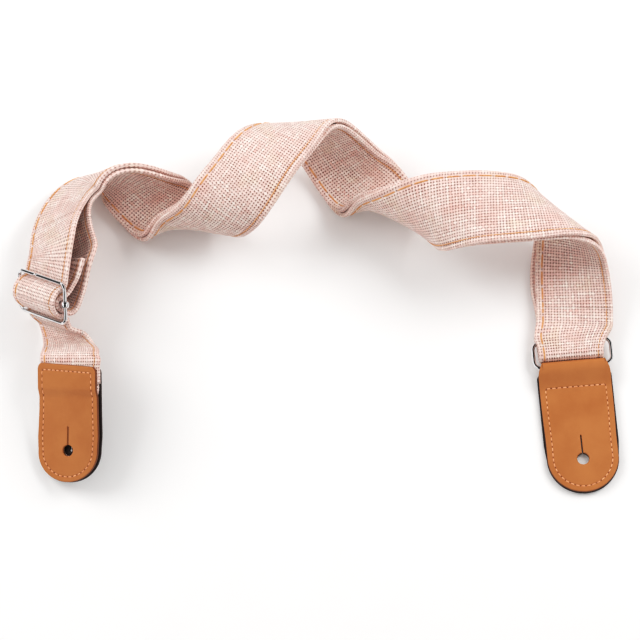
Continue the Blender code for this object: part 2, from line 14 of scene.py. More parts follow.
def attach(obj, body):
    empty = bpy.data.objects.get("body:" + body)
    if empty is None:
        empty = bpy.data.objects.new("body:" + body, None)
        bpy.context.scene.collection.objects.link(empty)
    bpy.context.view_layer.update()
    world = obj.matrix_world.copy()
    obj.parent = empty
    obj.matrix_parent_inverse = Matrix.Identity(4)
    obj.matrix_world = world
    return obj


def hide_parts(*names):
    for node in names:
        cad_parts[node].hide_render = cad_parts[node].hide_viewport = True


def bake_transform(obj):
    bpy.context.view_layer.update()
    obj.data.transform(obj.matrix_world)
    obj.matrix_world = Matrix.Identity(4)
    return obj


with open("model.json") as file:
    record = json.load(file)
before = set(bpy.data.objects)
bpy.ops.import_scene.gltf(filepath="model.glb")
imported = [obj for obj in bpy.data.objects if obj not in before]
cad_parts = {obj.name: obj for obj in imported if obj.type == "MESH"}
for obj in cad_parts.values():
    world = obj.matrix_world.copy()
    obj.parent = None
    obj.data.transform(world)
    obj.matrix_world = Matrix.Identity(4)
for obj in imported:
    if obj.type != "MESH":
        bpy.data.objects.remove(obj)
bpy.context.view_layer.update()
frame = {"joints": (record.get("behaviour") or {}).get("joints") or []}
joints = {joint["name"]: joint for joint in frame["joints"]}

MM = 0.001

# the linen band
BAND_W = 52.0
BAND_T = 3.0
RUN_GAP = 0.8
YARN = 1.94             # spacing of the yarns
STEP = YARN / 2         # two rows of vertices for each yarn
EDGE_R = 1.5            # rounding of the band's folded edges
SEAM_IN = 4.5           # the topstitching's distance from each edge
COLUMNS = 13            # control columns across the band

# The middle surface of the doubled band, from the adjuster to the end ring: x, y, z of the
# centre line, then azimuth and elevation of the direction across the band in degrees.
STATIONS = [
    (-352.9, 97, 41, -22, 53), (-351.7, 119, 36, -24, 53), (-344, 140.5, 30, -30, 52),
    (-329, 158, 27.8, -26, 56), (-314.5, 161, 28, 0, 62), (-301, 157, 21.8, 24, 52),
    (-290, 149, 12.8, 36, 30), (-281, 142, 8.3, 36, 6), (-272, 134, 10.1, 28, -10),
    (-265, 129, 16, 14, -26), (-256.5, 123.5, 28, -4, -38), (-245, 123, 43, -20, -30),
    (-237, 130.5, 54, -30, -14), (-227.5, 141, 60, -37, -2), (-212.3, 163.5, 62, -37, 10),
    (-203, 175, 58, -35, 20), (-193.5, 185.8, 51, -24, 32), (-181.5, 191.5, 40, -2, 44),
    (-168.5, 184, 26.2, 15, 45), (-155.5, 171.5, 13.6, 28, 34), (-144, 158, 8.9, 32, 15),
    (-132, 144.5, 13, 8, -17), (-124, 131.5, 26, -16, -38), (-113, 125, 41, -42, -32),
    (-97.5, 124, 54, -68, -14), (-76, 125.7, 60, -86, 0), (-50, 126.2, 61, -90, 8),
    (-30.5, 128, 56, -80, 20), (-16, 128, 46, -62, 36), (-6.5, 124, 32, -36, 44),
    (-2, 115, 19, -16, 30), (-2.6, 100.5, 12, -4, 16), (-1.9, 79, 8, 2, 6),
    (-2.0, 61, 6.2, 5.5, 0),
]
SAMPLE = 2.0
SMOOTH_CENTRE = 8.0
SMOOTH_WIDTH = 14.0
SMOOTH_CURVE = 6.0
SMOOTH_CROWN = 10.0
MAX_CROWN = 1 / 60
LEAST_BEND = 0.01

OUTER_FROM = 18.0       # the outer run turns towards the adjuster over this length
INNER_FROM = 8.0
BULGE = 16.0            # the inner run hangs this far off the outer one at the adjuster
BULGE_END = 46.0
SLIP = 3.6              # sideways shift of the outer run at the right end
SLIP_FROM = 80.0
SLIP_GROWS = 25.0
SLIP_FADES = 30.0

# Places along the middle surface: where the band's pieces meet, and further marked places.
SEAM_AT = 28.0
LEFT_FLEX_AT = 38.0
RIGHT_FLEX_BACK = 25.0      # back from the outer run's end
RIGHT_END_BACK = 9.0
SPLIT_OUTER = 130.0
SPLIT_INNER = 232.0
SHORT_BLEND, LONG_BLEND = 18, 34        # rows from a seam to the stop row of its crossing

# the surface of the cloth
CROSSING_HEIGHT = 0.09
GAP_DEPTH = 0.17
SLUB_HEIGHT = 0.03
UNEVENNESS = 0.06
SOFT_WAVES = 0.25
SEAM_DEPTH = 0.45
SEAM_STEP = 0.45            # spacing of the points along a topstitch
SEAM_LOOKS = {-1: (10.4, 8.4, 0.58), 1: (4.3, 3.9, 0.36)}   # pitch, dash and radius by edge

# length adjuster
ADJUSTER_AT = (-360.4, 71.5, 33.8)
ADJUSTER_W = (-36.0, 43.0)
ADJUSTER_UP = (-0.1, 0.87, 0.47)
FRAME_L = 54.0
FRAME_H = 27.6
FRAME_WIRE = 1.3
FRAME_CORNER = 4.5
FRAME_JOINT = -6.2      # where the wire's two ends meet
JOINT_GAP = 0.35
BAR_R = 1.2
SLEEVE_T = 1.6
SLEEVE_L = 4.4
SLEEVE_PLAY = 0.08
BAR_SHORT = 2.6             # the centre bar ends this far inside the side wires' middles
HUMP_W = BAND_W - 3.5
LOOP_W = BAND_W - 4.5

# Side view of the band through the adjuster: distance up the band from the centre bar and
# height over the frame's plane.
HUMP_SIDE = [(15.5, -4.5), (13.0, -3.9), (11.1, -3.2), (9.9, -1.9), (9.4, 0.2), (8.4, 2.5),
             (6.2, 4.9), (3.3, 6.6)]
HUMP_TOP = 7.2
HUMP_TAIL = [(-16.0, -4.8), (-19.0, -6.6)]
LOOP_SIDE = [(16.0, -23.0), (8.0, -19.6), (0.5, -16.2), (-5.8, -12.6), (-8.4, -8.4),
             (-7.4, -4.2), (-5.6, -0.8), (-3.4, 2.0), (0.0, 3.5), (2.8, 2.0), (3.5, -1.1),
             (5.0, -4.9), (10.2, -10.2), (18.2, -15.5), (24.0, -19.3)]
LOWER_START = (2.4, -22.3, -11.2)
LOWER_HEADS = (13.6, -38.0, -17.5)
LOWER_ASIDE = -2.0      # how far sideways the lower band leaves the left tab
LOWER_LEAN = -5.0       # degrees; below 0 the lower band's top lies flatter than the bars
LOWER_TURN = 2.3        # above 1, most of the turn lies near the adjuster
LOWER_STRAIGHT = 7.0
LOWER_INSIDE = (-14.0, -10.0, -6.0, -2.0)       # rows of the band held by the left tab
TAB_MOUTH = 1.2         # the band comes out of the left tab's top here

# end ring
RING_L = 52.6
RING_H = 18.0
RING_WIRE = 1.2
RING_CORNER = 5.0
FOLD_REACH = 14.0
FOLD_PLAY = 0.5
FOLD_W = 44.0
LEG_WIDER = [3.5, 2.2, 0.3]     # extra half width of the fold's legs, from the free rows in
LEG_ASIDE = [1.9, 1.1, 0.2]     # their shift to the right
FOLD_ASIDE = -1.0

# leather tabs
TAB_W = 50.0
TAB_L = 88.0
TAB_END_R = 24.0
LEATHER_T = 2.2
BACKING_T = 1.5
TAB_GAP = 0.3
INSERT_T = 2.7
HOLE_R = 4.0
SLIT_L = 12.5
SLIT_W = 0.8
HOLE_AT = 64.8
STITCH_INSET = 4.0
STITCH_TOP = 14.0
STITCH_CORNER = 1.5
STITCH_PITCH = 3.7
STITCH_L = 2.6
STITCH_R = 0.46
STITCH_SINK = 0.42          # depth of the stitches under the leather's face
NEEDLE_R = 0.30
LEFT_TAB_CUT = 8.0      # the left tab is this much shorter at its top edge
INSERT_L = 15.5         # length of the band held inside the left tab
LEFT_TAB_TWIST = 7.5    # degrees the rounded end lies flatter than the top
LEFT_TAB_SWAY = 1.3
LEFT_TAB_ASIDE = 0.8
LEFT_TAB_SLANT = 0.06   # slope of its top edge
LEFT_TAB_STRETCH = 2.6
LEFT_TAB_UP = (-0.03, 0.954, 0.3)
LEFT_HOLES = {"leather": HOLE_R, "strap_end": 5.2, "backing": 0.9}
KINK_L = 6.0            # the leather comes down to the backing over this length
INSERT_THINS = 0.96     # below the kink the filler shrinks out of sight
INSERT_SHRINKS = 0.07
CURL_PLAY = 0.35
CURL_CLIMB = [(-15.0, 3.15), (-10.0, 4.9), (-6.0, 6.9), (-3.0, 8.2)]
CURL_UNDER = [(-3.5, 3.25), (-7.5, 2.98)]
CURL_HALF = 21.6        # half width at the curl
CURL_WIDENS = 2.8
TAB_TAPER = 0.6
# camera and stage, in metres and degrees
STAGE_CENTRE = (-0.174, 0.066, 0.0)
CAMERA_UP = 72.0
CAMERA_FAR = 4.0
VIEW_WIDTH = 0.4332
SENSOR = 36.0
WORLD_LIGHT = 0.63
TENT_LIGHT = 1.15
OPENING = (0.10, 0.25, 0.963)
FRONT_OPENING = (0.02, -0.753, 0.658)
TABLE_HALF = 0.262          # painted reflection: polished metal mirrors the table as dark beyond this
TABLE_SIZE = 3.0
TABLE_DROP = 0.0006
SOFTBOXES = (("right_softbox", (0.70, 0.55, 1.0), 0.7, 9.5),
             ("left_softbox", (-1.15, 0.45, 0.9), 0.8, 8.5))
TONE_CURVE = ((0.10, 0.065), (0.22, 0.19), (0.40, 0.42), (0.65, 0.70))


# ---------------------------------------------------------------- numbers

def unit(a):
    return a / np.linalg.norm(a, axis=-1, keepdims=True)


def direction(azimuth, elevation):
    az, el = math.radians(azimuth), math.radians(elevation)
    return np.array([math.cos(el) * math.cos(az), math.cos(el) * math.sin(az), math.sin(el)])


def natural_spline(knots, values, at):
    """Natural cubic spline through values at knots, sampled at the places in at."""
    n = len(knots)
    h = np.diff(knots)
    a = np.eye(n)
    r = np.zeros((n, values.shape[1]))
    for i in range(1, n - 1):
        a[i, i - 1:i + 2] = h[i - 1], 2 * (h[i - 1] + h[i]), h[i]
        r[i] = 6 * ((values[i + 1] - values[i]) / h[i] - (values[i] - values[i - 1]) / h[i - 1])
    m = np.linalg.solve(a, r)
    k = np.clip(np.searchsorted(knots, at, side="right") - 1, 0, n - 2)
    t = (at - knots[k])[:, None]
    hk = h[k][:, None]
    cubic = (m[k + 1] - m[k]) / (6 * hk)
    linear = (values[k + 1] - values[k]) / hk - hk * (2 * m[k] + m[k + 1]) / 6
    return ((cubic * t + m[k] / 2) * t + linear) * t + values[k]


def smoothed(rows, length, step=SAMPLE):
    """Gaussian smoothing along the rows; the ends are continued in a straight line."""
    sigma = length / step
    n = int(3 * sigma) + 1
    kernel = np.exp(-0.5 * (np.arange(-n, n + 1) / sigma) ** 2)
    kernel /= kernel.sum()
    before = 2 * rows[0] - rows[1:n + 1][::-1]
    after = 2 * rows[-1] - rows[-n - 1:-1][::-1]
    padded = np.vstack([before, rows, after])
    return np.stack([np.convolve(c, kernel, "valid") for c in padded.T], axis=1)


def smoothstep(x):
    x = np.clip(x, 0.0, 1.0)
    return x * x * (3 - 2 * x)


def running_length(points):
    steps = np.linalg.norm(np.diff(points, axis=0), axis=1)
    return np.concatenate([[0.0], np.cumsum(steps)])


def soft_noise(seed, u, v, size_u, size_v):
    """Smooth random surface between -1 and 1 over two coordinate arrays, cell by cell."""
    rng = np.random.RandomState(seed)
    table = rng.uniform(-1, 1, (256, 256))
    a, b = np.asarray(u) / size_u + 64.0, np.asarray(v) / size_v + 64.0
    i, j = np.floor(a).astype(int), np.floor(b).astype(int)
    fa, fb = smoothstep(a - i), smoothstep(b - j)
    i0, i1, j0, j1 = i % 256, (i + 1) % 256, j % 256, (j + 1) % 256
    low = table[i0, j0] * (1 - fa) + table[i1, j0] * fa
    high = table[i0, j1] * (1 - fa) + table[i1, j1] * fa
    return low * (1 - fb) + high * fb


# ---------------------------------------------------------------- local frames

def local_frame(at, width, up):
    """Matrix whose X is the width, Y the way up the band and Z the outward normal, in mm."""
    w = unit(np.array(width, float))
    u = unit(np.array(up, float) - np.dot(up, w) * w)
    m = np.eye(4)
    m[:3, 0], m[:3, 1], m[:3, 2], m[:3, 3] = w, u, np.cross(w, u), at
    return m


def to_world(m, points):
    return np.asarray(points, float) @ m[:3, :3].T + m[:3, 3]


def to_local(m, points):
    return (np.asarray(points) - m[:3, 3]) @ m[:3, :3]


ADJUSTER = local_frame(ADJUSTER_AT, direction(*ADJUSTER_W), ADJUSTER_UP)


def ring_frame():
    """The end ring's frame, from the two hinges that lie on its long bars."""
    upper = np.array(joints["ring_hinge"]["pos_m"]) / MM
    lower = np.array(joints["right_tab_hinge"]["pos_m"]) / MM
    return local_frame((upper + lower) / 2, joints["ring_hinge"]["axis"], (0, 1, 0))


def left_tab_frame():
    joint = joints["left_tab_flex"]
    return local_frame(np.array(joint["pos_m"]) / MM, joint["axis"], LEFT_TAB_UP)


RING = ring_frame()
LEFT_TAB = left_tab_frame()


# ---------------------------------------------------------------- the band as one long sheet

class Middle:
    """The middle surface of the doubled band, sampled evenly along its length."""

    def __init__(self, stations):
        table = np.array(stations, float)
        centre = table[:, :3]
        width = np.array([direction(az, el) for az, el in table[:, 3:]])
        knots = running_length(centre)
        fine = np.linspace(0, knots[-1], 4000)
        along = running_length(natural_spline(knots, centre, fine))
        even = np.linspace(0, along[-1], int(round(along[-1] / SAMPLE)) + 1)
        at = np.interp(even, along, fine)
        self.centre = smoothed(natural_spline(knots, centre, at), SMOOTH_CENTRE)
        wide = smoothed(unit(natural_spline(knots, width, at)), SMOOTH_WIDTH)
        self.s = running_length(self.centre)
        self.length = self.s[-1]
        self.along = unit(np.gradient(self.centre, self.s, axis=0))
        self.width = unit(wide - np.sum(wide * self.along, axis=1)[:, None] * self.along)
        self.out = np.cross(self.width, self.along)
        bend = -np.sum(np.gradient(self.along, self.s, axis=0) * self.out, axis=1)
        twist = np.sum(np.gradient(self.width, self.s, axis=0) * self.out, axis=1)
        bend = smoothed(bend[:, None], SMOOTH_CURVE)[:, 0]
        twist = smoothed(twist[:, None], SMOOTH_CURVE)[:, 0]
        crown = twist ** 2 * bend / (bend ** 2 + LEAST_BEND ** 2)
        crown = np.clip(crown, -MAX_CROWN, MAX_CROWN)
        self.crown = smoothed(crown[:, None], SMOOTH_CROWN)[:, 0]

    def run(self, places, lift, shift, half):
        """Control rows of a run at the given places, lifted along the surface's normals."""
        def at(rows):
            return np.stack([np.interp(places, self.s, c) for c in rows.T], axis=1)

        width, out = unit(at(self.width)), unit(at(self.out))
        crown = np.interp(places, self.s, self.crown)
        v = np.linspace(-1, 1, COLUMNS)[None, :] * half + shift[:, None]
        grid = at(self.centre)[:, None] + v[..., None] * width[:, None]
        grid -= 0.5 * (crown[:, None] * v * v)[..., None] * out[:, None]
        normal = unit(np.cross(np.gradient(grid, axis=1), np.gradient(grid, axis=0)))
        return grid + lift[:, None, None] * normal


def straight_rows(centres, widths, halves):
    """Control rows without crown at centre points, lying along the given directions."""
    v = np.linspace(-1, 1, COLUMNS)
    return np.array([c + np.outer(v * half, unit(w))
                     for c, w, half in zip(centres, widths, halves)])


def lower_rows():
    """From inside the left tab up to the adjuster's lower bar."""
    tab_w, bars = LEFT_TAB[:3, 0], ADJUSTER[:3, 0]
    centres = [to_world(LEFT_TAB, (0, y, 0)) for y in LOWER_INSIDE]
    widths = [tab_w] * len(centres)
    halves = [BAND_W / 2 - 0.8] * len(centres)
    end = to_world(LEFT_TAB, (0, TAB_MOUTH, 0))
    above = to_world(LEFT_TAB, (0, TAB_MOUTH + LOWER_STRAIGHT, 0)) + (LOWER_ASIDE, 0.0, 0.0)
    start, heads = to_world(ADJUSTER, LOWER_START), to_world(ADJUSTER, LOWER_HEADS)
    lean = math.radians(LOWER_LEAN)
    leaning = math.cos(lean) * bars + math.sin(lean) * ADJUSTER[:3, 2]
    for t in np.linspace(1, 0, 6):
        u = 1 - t
        centres.append(u ** 3 * start + 3 * u * u * t * heads + 3 * u * t * t * above
                       + t ** 3 * end)
        turned = u ** LOWER_TURN
        widths.append(unit(turned * leaning + (1 - turned) * tab_w))
        halves.append((u * HUMP_W + t * BAND_W) / 2)
    return straight_rows(centres, widths, halves)


def hump_rows():
    """Under the lower bar, over the centre bar and under the upper bar."""
    side = [(0.0, HUMP_TOP)] + [(-y, z) for y, z in reversed(HUMP_SIDE[1:])] + HUMP_TAIL
    profile = (HUMP_SIDE + side)[::-1]
    centres = [to_world(ADJUSTER, (0, y, z)) for y, z in profile]
    return straight_rows(centres, [ADJUSTER[:3, 0]] * len(profile), [HUMP_W / 2] * len(profile))


def fold_rows():
    """Round the ring's upper bar, from under the ring to above it."""
    spread = RING_WIRE + FOLD_PLAY + BAND_T / 2
    bar_y = RING_H / 2
    turn_y = bar_y - FOLD_REACH + spread + BAND_T / 2
    leg = [(bar_y + 3.0, -spread), (bar_y, -spread), (turn_y + 2.0, -spread)]
    turn = [(turn_y - spread * math.sin(a), -spread * math.cos(a))
            for a in np.radians(range(0, 181, 20))]
    profile = leg + turn + [(y, -z) for y, z in reversed(leg)]
    level = [0.0] * len(turn)
    aside = LEG_ASIDE + level + LEG_ASIDE[::-1]
    wider = LEG_WIDER + level + LEG_WIDER[::-1]
    centres = [to_world(RING, (x + FOLD_ASIDE, y, z)) for x, (y, z) in zip(aside, profile)]
    halves = [FOLD_W / 2 + more for more in wider]
    return straight_rows(centres, [RING[:3, 0]] * len(profile), halves)


def loop_rows(last_width):
    """The inner run's end: round the centre bar and back up between the runs."""
    bars = ADJUSTER[:3, 0]
    centres = [to_world(ADJUSTER, (0, y, z)) for y, z in LOOP_SIDE]
    between = unit(last_width + bars)
    widths = [between] + [bars] * (len(LOOP_SIDE) - 2) + [between]
    return straight_rows(centres, widths, [LOOP_W / 2] * len(LOOP_SIDE))


class Sheet:
    """The whole band, resampled evenly; marks name places along it by row."""

    def __init__(self):
        middle = Middle(STATIONS)
        lift = (RUN_GAP + BAND_T) / 2
        outer_s = np.arange(OUTER_FROM, middle.length - 1.0, SAMPLE)
        inner_s = np.arange(INNER_FROM, middle.length - 1.0, SAMPLE)[::-1]
        back = middle.length - outer_s
        slip = -SLIP * smoothstep((SLIP_FROM - back) / SLIP_GROWS) * smoothstep(back / SLIP_FADES)
        outer = middle.run(outer_s, np.full(len(outer_s), lift), slip, BAND_W / 2)
        bulge = BULGE * (1 - smoothstep(inner_s / BULGE_END))
        # rows run towards the ring while the normals are worked out, then turn round
        inner = middle.run(inner_s[::-1], -(lift + bulge[::-1]), np.zeros(len(inner_s)),
                           BAND_W / 2)[::-1]
        loop_w = middle.width[4]
        parts = [lower_rows(), hump_rows(), outer, fold_rows(), inner, loop_rows(loop_w)]
        rows = np.concatenate(parts)
        starts = np.cumsum([0] + [len(p) for p in parts])
        length = running_length(rows[:, COLUMNS // 2])
        self.count = int(length[-1] / STEP)
        self.u = np.arange(self.count) * STEP
        flat = natural_spline(length, rows.reshape(len(rows), -1), self.u)
        self.rows = flat.reshape(self.count, COLUMNS, 3)
        self.s_outer = (length[starts[2]:starts[3]], outer_s)
        self.s_inner = (length[starts[4]:starts[5]], inner_s)
        hump = length[starts[1]:starts[2]]
        hump_y = to_local(ADJUSTER, rows[starts[1]:starts[2], COLUMNS // 2])[:, 1]
        self.crest = self.row_at(hump[np.argmin(np.abs(hump_y))])
        self.below_frame = self.row_at(length[starts[1]])
        self.tab_top = self.row_at(length[4])

    def row_at(self, length):
        return int(round(length / STEP))

    def outer_row(self, s):
        """Row of the outer run at a place along the middle surface; even, on a yarn."""
        return self.row_at(np.interp(s, self.s_outer[1], self.s_outer[0])) // 2 * 2

    def inner_row(self, s):
        places, lengths = self.s_inner[1][::-1], self.s_inner[0][::-1]
        return self.row_at(np.interp(s, places, lengths)) // 2 * 2


def cross_section():
    """Points round the band: v across, h off its middle, and the outward direction."""
    flat, bend = BAND_W - 2 * EDGE_R, math.pi * EDGE_R
    count = int(2 * (flat + bend) / STEP) // 4 * 4
    points = []
    for c in np.arange(count) * 2 * (flat + bend) / count:
        side, c = (1, c) if c < flat + bend else (-1, c - flat - bend)
        a = max(c - flat, 0.0) / EDGE_R
        across, up = math.sin(a), math.cos(a)
        points.append((side * (min(c, flat) - flat / 2 + EDGE_R * across), side * EDGE_R * up,
                       side * across, side * up))
    return np.array(points)


SECTION = cross_section()
GIRTH = len(SECTION)


def section_profile():
    """Rise of the face across the band: a groove at each topstitched row, a swell outside."""
    off = np.abs(SECTION[:, 0]) - (BAND_W / 2 - SEAM_IN)
    return 0.12 * np.exp(-((off - 2.4) / 1.3) ** 2) - SEAM_DEPTH * np.exp(-(off / 0.9) ** 2)


def surface_at(rows, v):
    """Points of the sheet, its normals and its crosswise directions at distances v across."""
    knots = np.linspace(-BAND_W / 2, BAND_W / 2, COLUMNS)
    eye = np.eye(COLUMNS)
    weights = natural_spline(knots, eye, v)
    slopes = (natural_spline(knots, eye, v + 0.05) - natural_spline(knots, eye, v - 0.05)) / 0.1
    points = np.einsum("km,rmc->rkc", weights, rows)
    across = unit(np.einsum("km,rmc->rkc", slopes, rows))
    normal = unit(np.cross(across, np.gradient(points, axis=0)))
    return points, normal, across


def relief(rows_at, sheet):
    """Height of the weave and of the cloth's unevenness over the rows and round the girth."""
    u = sheet.u[rows_at][:, None]
    k = np.arange(GIRTH)[None, :]
    r = rows_at[:, None]
    on_warp, on_weft = k % 2 == 0, r % 2 == 0
    rng = np.random.RandomState(5)
    weft_size = rng.normal(0, 1, sheet.count // 2 + 2)
    warp_size = rng.normal(0, 1, GIRTH // 2 + 2)
    slub_weft = weft_size[r // 2] + 1.2 * soft_noise(6, r // 2, k, 1.0, 9.0)
    slub_warp = warp_size[k // 2 + 0 * r] + 1.2 * soft_noise(7, r, k // 2, 11.0, 1.0)
    height = CROSSING_HEIGHT * (on_warp & on_weft) - GAP_DEPTH * (~on_warp & ~on_weft)
    height = height + SLUB_HEIGHT * (np.where(on_weft, slub_weft, 0)
                                     + np.where(on_warp, slub_warp, 0))
    height = height * (1.0 - 0.75 * np.abs(SECTION[:, 2])[None, :])
    return height + UNEVENNESS * soft_noise(8, u, k * STEP, 4.0, 4.0)


# ---------------------------------------------------------------- mesh makers

def new_object(name, verts, faces, mats, uvs=None, material_of=None):
    mesh = bpy.data.meshes.new(name)
    mesh.from_pydata(np.asarray(verts, float) * MM, [], faces)
    for mat in mats:
        mesh.materials.append(mat)
    mesh.shade_smooth()
    if material_of is not None:
        mesh.polygons.foreach_set("material_index", material_of)
    if uvs is not None:
        layer = mesh.uv_layers.new(name="weave")
        layer.data.foreach_set("uv", np.asarray(uvs, np.float32).ravel())
    obj = bpy.data.objects.new(name, mesh)
    bpy.context.scene.collection.objects.link(obj)
    return obj


def grid_faces(rows, around):
    """Quads of a tube of vertices: rows along it, each closed round."""
    r = np.arange(rows - 1)[:, None] * around
    k = np.arange(around)[None, :]
    n = (k + 1) % around
    return np.stack([r + k, r + around + k, r + around + n, r + n], axis=-1).reshape(-1, 4)


def rows_between(sheet, first, last, v, margin=3):
    """The surface at distances v between two rows, worked out with a margin beyond them."""
    low, high = max(0, first - margin), min(sheet.count, last + margin + 1)
    keep = slice(first - low, last - low + 1)
    return np.arange(low, high), keep, surface_at(sheet.rows[low:high], v)


def end_caps(rows):
    """Faces that close both ends of the band's tube, two rows of quads turned outwards."""
    caps = []
    half = GIRTH // 2
    for base, turn in ((0, 1), ((rows - 1) * GIRTH, -1)):
        for k in range(half - 1):
            quad = list(dict.fromkeys([k, k + 1, opposite(k + 1), opposite(k)]))
            if len(quad) > 2:
                caps.append([base + i for i in quad][::turn])
    return caps


def strap_piece(name, sheet, first, last, mat):
    """Solid length of the band between two rows, woven surface included."""
    v, h, across_out, up_out = SECTION.T
    rows_at, keep, (points, normal, across) = rows_between(sheet, first, last, v)
    h = h + np.sign(h) * section_profile()
    lift = SOFT_WAVES * soft_noise(9, sheet.u[rows_at][:, None], v[None, :], 22.0, 18.0)
    points = points + (h[None, :] + lift)[..., None] * normal
    rise = relief(rows_at, sheet)[..., None]
    points = points + rise * (across_out[:, None] * across + up_out[:, None] * normal)
    rows = last - first + 1
    faces = grid_faces(rows, GIRTH)
    caps = end_caps(rows)
    u = (first + np.arange(rows)) / 2.0
    r = np.repeat(np.arange(rows - 1), GIRTH)
    k = np.tile(np.arange(GIRTH), rows - 1)
    uv = np.stack([u[[r, r + 1, r + 1, r]].T, np.stack([k, k, k + 1, k + 1], axis=1) / 2.0], axis=-1)
    cap_uv = [(u[0], 0.5 * (c % GIRTH)) for quad in caps for c in quad]
    uvs = np.concatenate([uv.reshape(-1, 2), np.array(cap_uv)])
    return new_object(name, points[keep].reshape(-1, 3), faces.tolist() + caps, [mat], uvs=uvs)


def opposite(k):
    """The point on the other side of the band, straight through it."""
    v, h = SECTION[k, 0], SECTION[k, 1]
    gap = (SECTION[:, 0] - v) ** 2 + (SECTION[:, 1] + h) ** 2
    return int(np.argmin(gap))


def tube(path, radius, sides=10, closed=False):
    """Vertices and faces of a round tube along a path; radius may change along it."""
    path = np.asarray(path, float)
    n = len(path)
    if closed:
        tangent = unit(np.roll(path, -1, axis=0) - np.roll(path, 1, axis=0))
    else:
        tangent = unit(np.gradient(path, axis=0))
    start = np.cross(tangent[0], (0.0, 0.0, 1.0))
    if np.linalg.norm(start) < 0.1:
        start = np.cross(tangent[0], (0.0, 1.0, 0.0))
    side = unit(start)
    radius = np.broadcast_to(np.asarray(radius, float), (n,))
    angles = np.arange(sides) * 2 * math.pi / sides
    verts = np.empty((n, sides, 3))
    for i in range(n):
        side = unit(side - np.dot(side, tangent[i]) * tangent[i])
        other = np.cross(tangent[i], side)
        verts[i] = path[i] + radius[i] * (np.cos(angles)[:, None] * side
                                          + np.sin(angles)[:, None] * other)
    faces = grid_faces(n, sides)[:, ::-1]
    if closed:
        # the last ring meets the first with the smallest twist
        twist = int(np.argmin(np.linalg.norm(verts[0] - verts[-1, 0], axis=1)))
        k = np.arange(sides)
        last = (n - 1) * sides
        link = np.stack([last + k, last + (k + 1) % sides, (k + 1 + twist) % sides,
                         (k + twist) % sides], axis=1)
        return verts.reshape(-1, 3), faces.tolist() + link.tolist()
    caps = [list(range(sides)), list(range((n - 1) * sides, n * sides))[::-1]]
    return verts.reshape(-1, 3), faces.tolist() + caps


def joined(pieces):
    """One list of vertices and faces from several."""
    verts, faces, base = [], [], 0
    for v, f in pieces:
        verts.append(np.asarray(v))
        faces += [[base + i for i in face] for face in f]
        base += len(v)
    return np.concatenate(verts), faces


# ---------------------------------------------------------------- topstitching of the band

def stitch_piece(name, sheet, first, last, mat):
    """Both rows of topstitching on both faces of a length of the band."""
    row = BAND_W / 2 - SEAM_IN
    made = []
    for edge, (pitch, dash, radius) in SEAM_LOOKS.items():
        _, keep, surface = rows_between(sheet, first, last, np.array([edge * row]))
        u = sheet.u[first:last + 1]
        fine = np.arange(u[0], u[-1], SEAM_STEP)
        points, normal, across = [np.stack([np.interp(fine, u, c) for c in a[keep, 0].T], axis=1)
                                  for a in surface]
        phase = fine % pitch
        inside = np.minimum(phase, dash - phase)
        depth = smoothstep(inside / 0.9 + 0.5)
        lean = 0.22 * radius * np.sin(np.floor(fine / pitch) * 12.9898)
        shown = inside > -0.7
        stretches = np.split(np.arange(len(fine)), np.flatnonzero(np.diff(shown)) + 1)
        for face in (1, -1):
            height = face * (EDGE_R - 0.45 - 0.9 * radius + 1.35 * radius * depth)
            path = points + height[:, None] * normal + lean[:, None] * across
            for dots in stretches:
                if shown[dots[0]] and len(dots) > 3:
                    taper = np.minimum(dots - dots[0], dots[-1] - dots)
                    size = radius * (0.55 + 0.45 * smoothstep(taper / 2.0))
                    made.append(tube(path[dots], size, 6))
    verts, faces = joined(made)
    return new_object(name, verts, faces, [mat])


# ---------------------------------------------------------------- materials

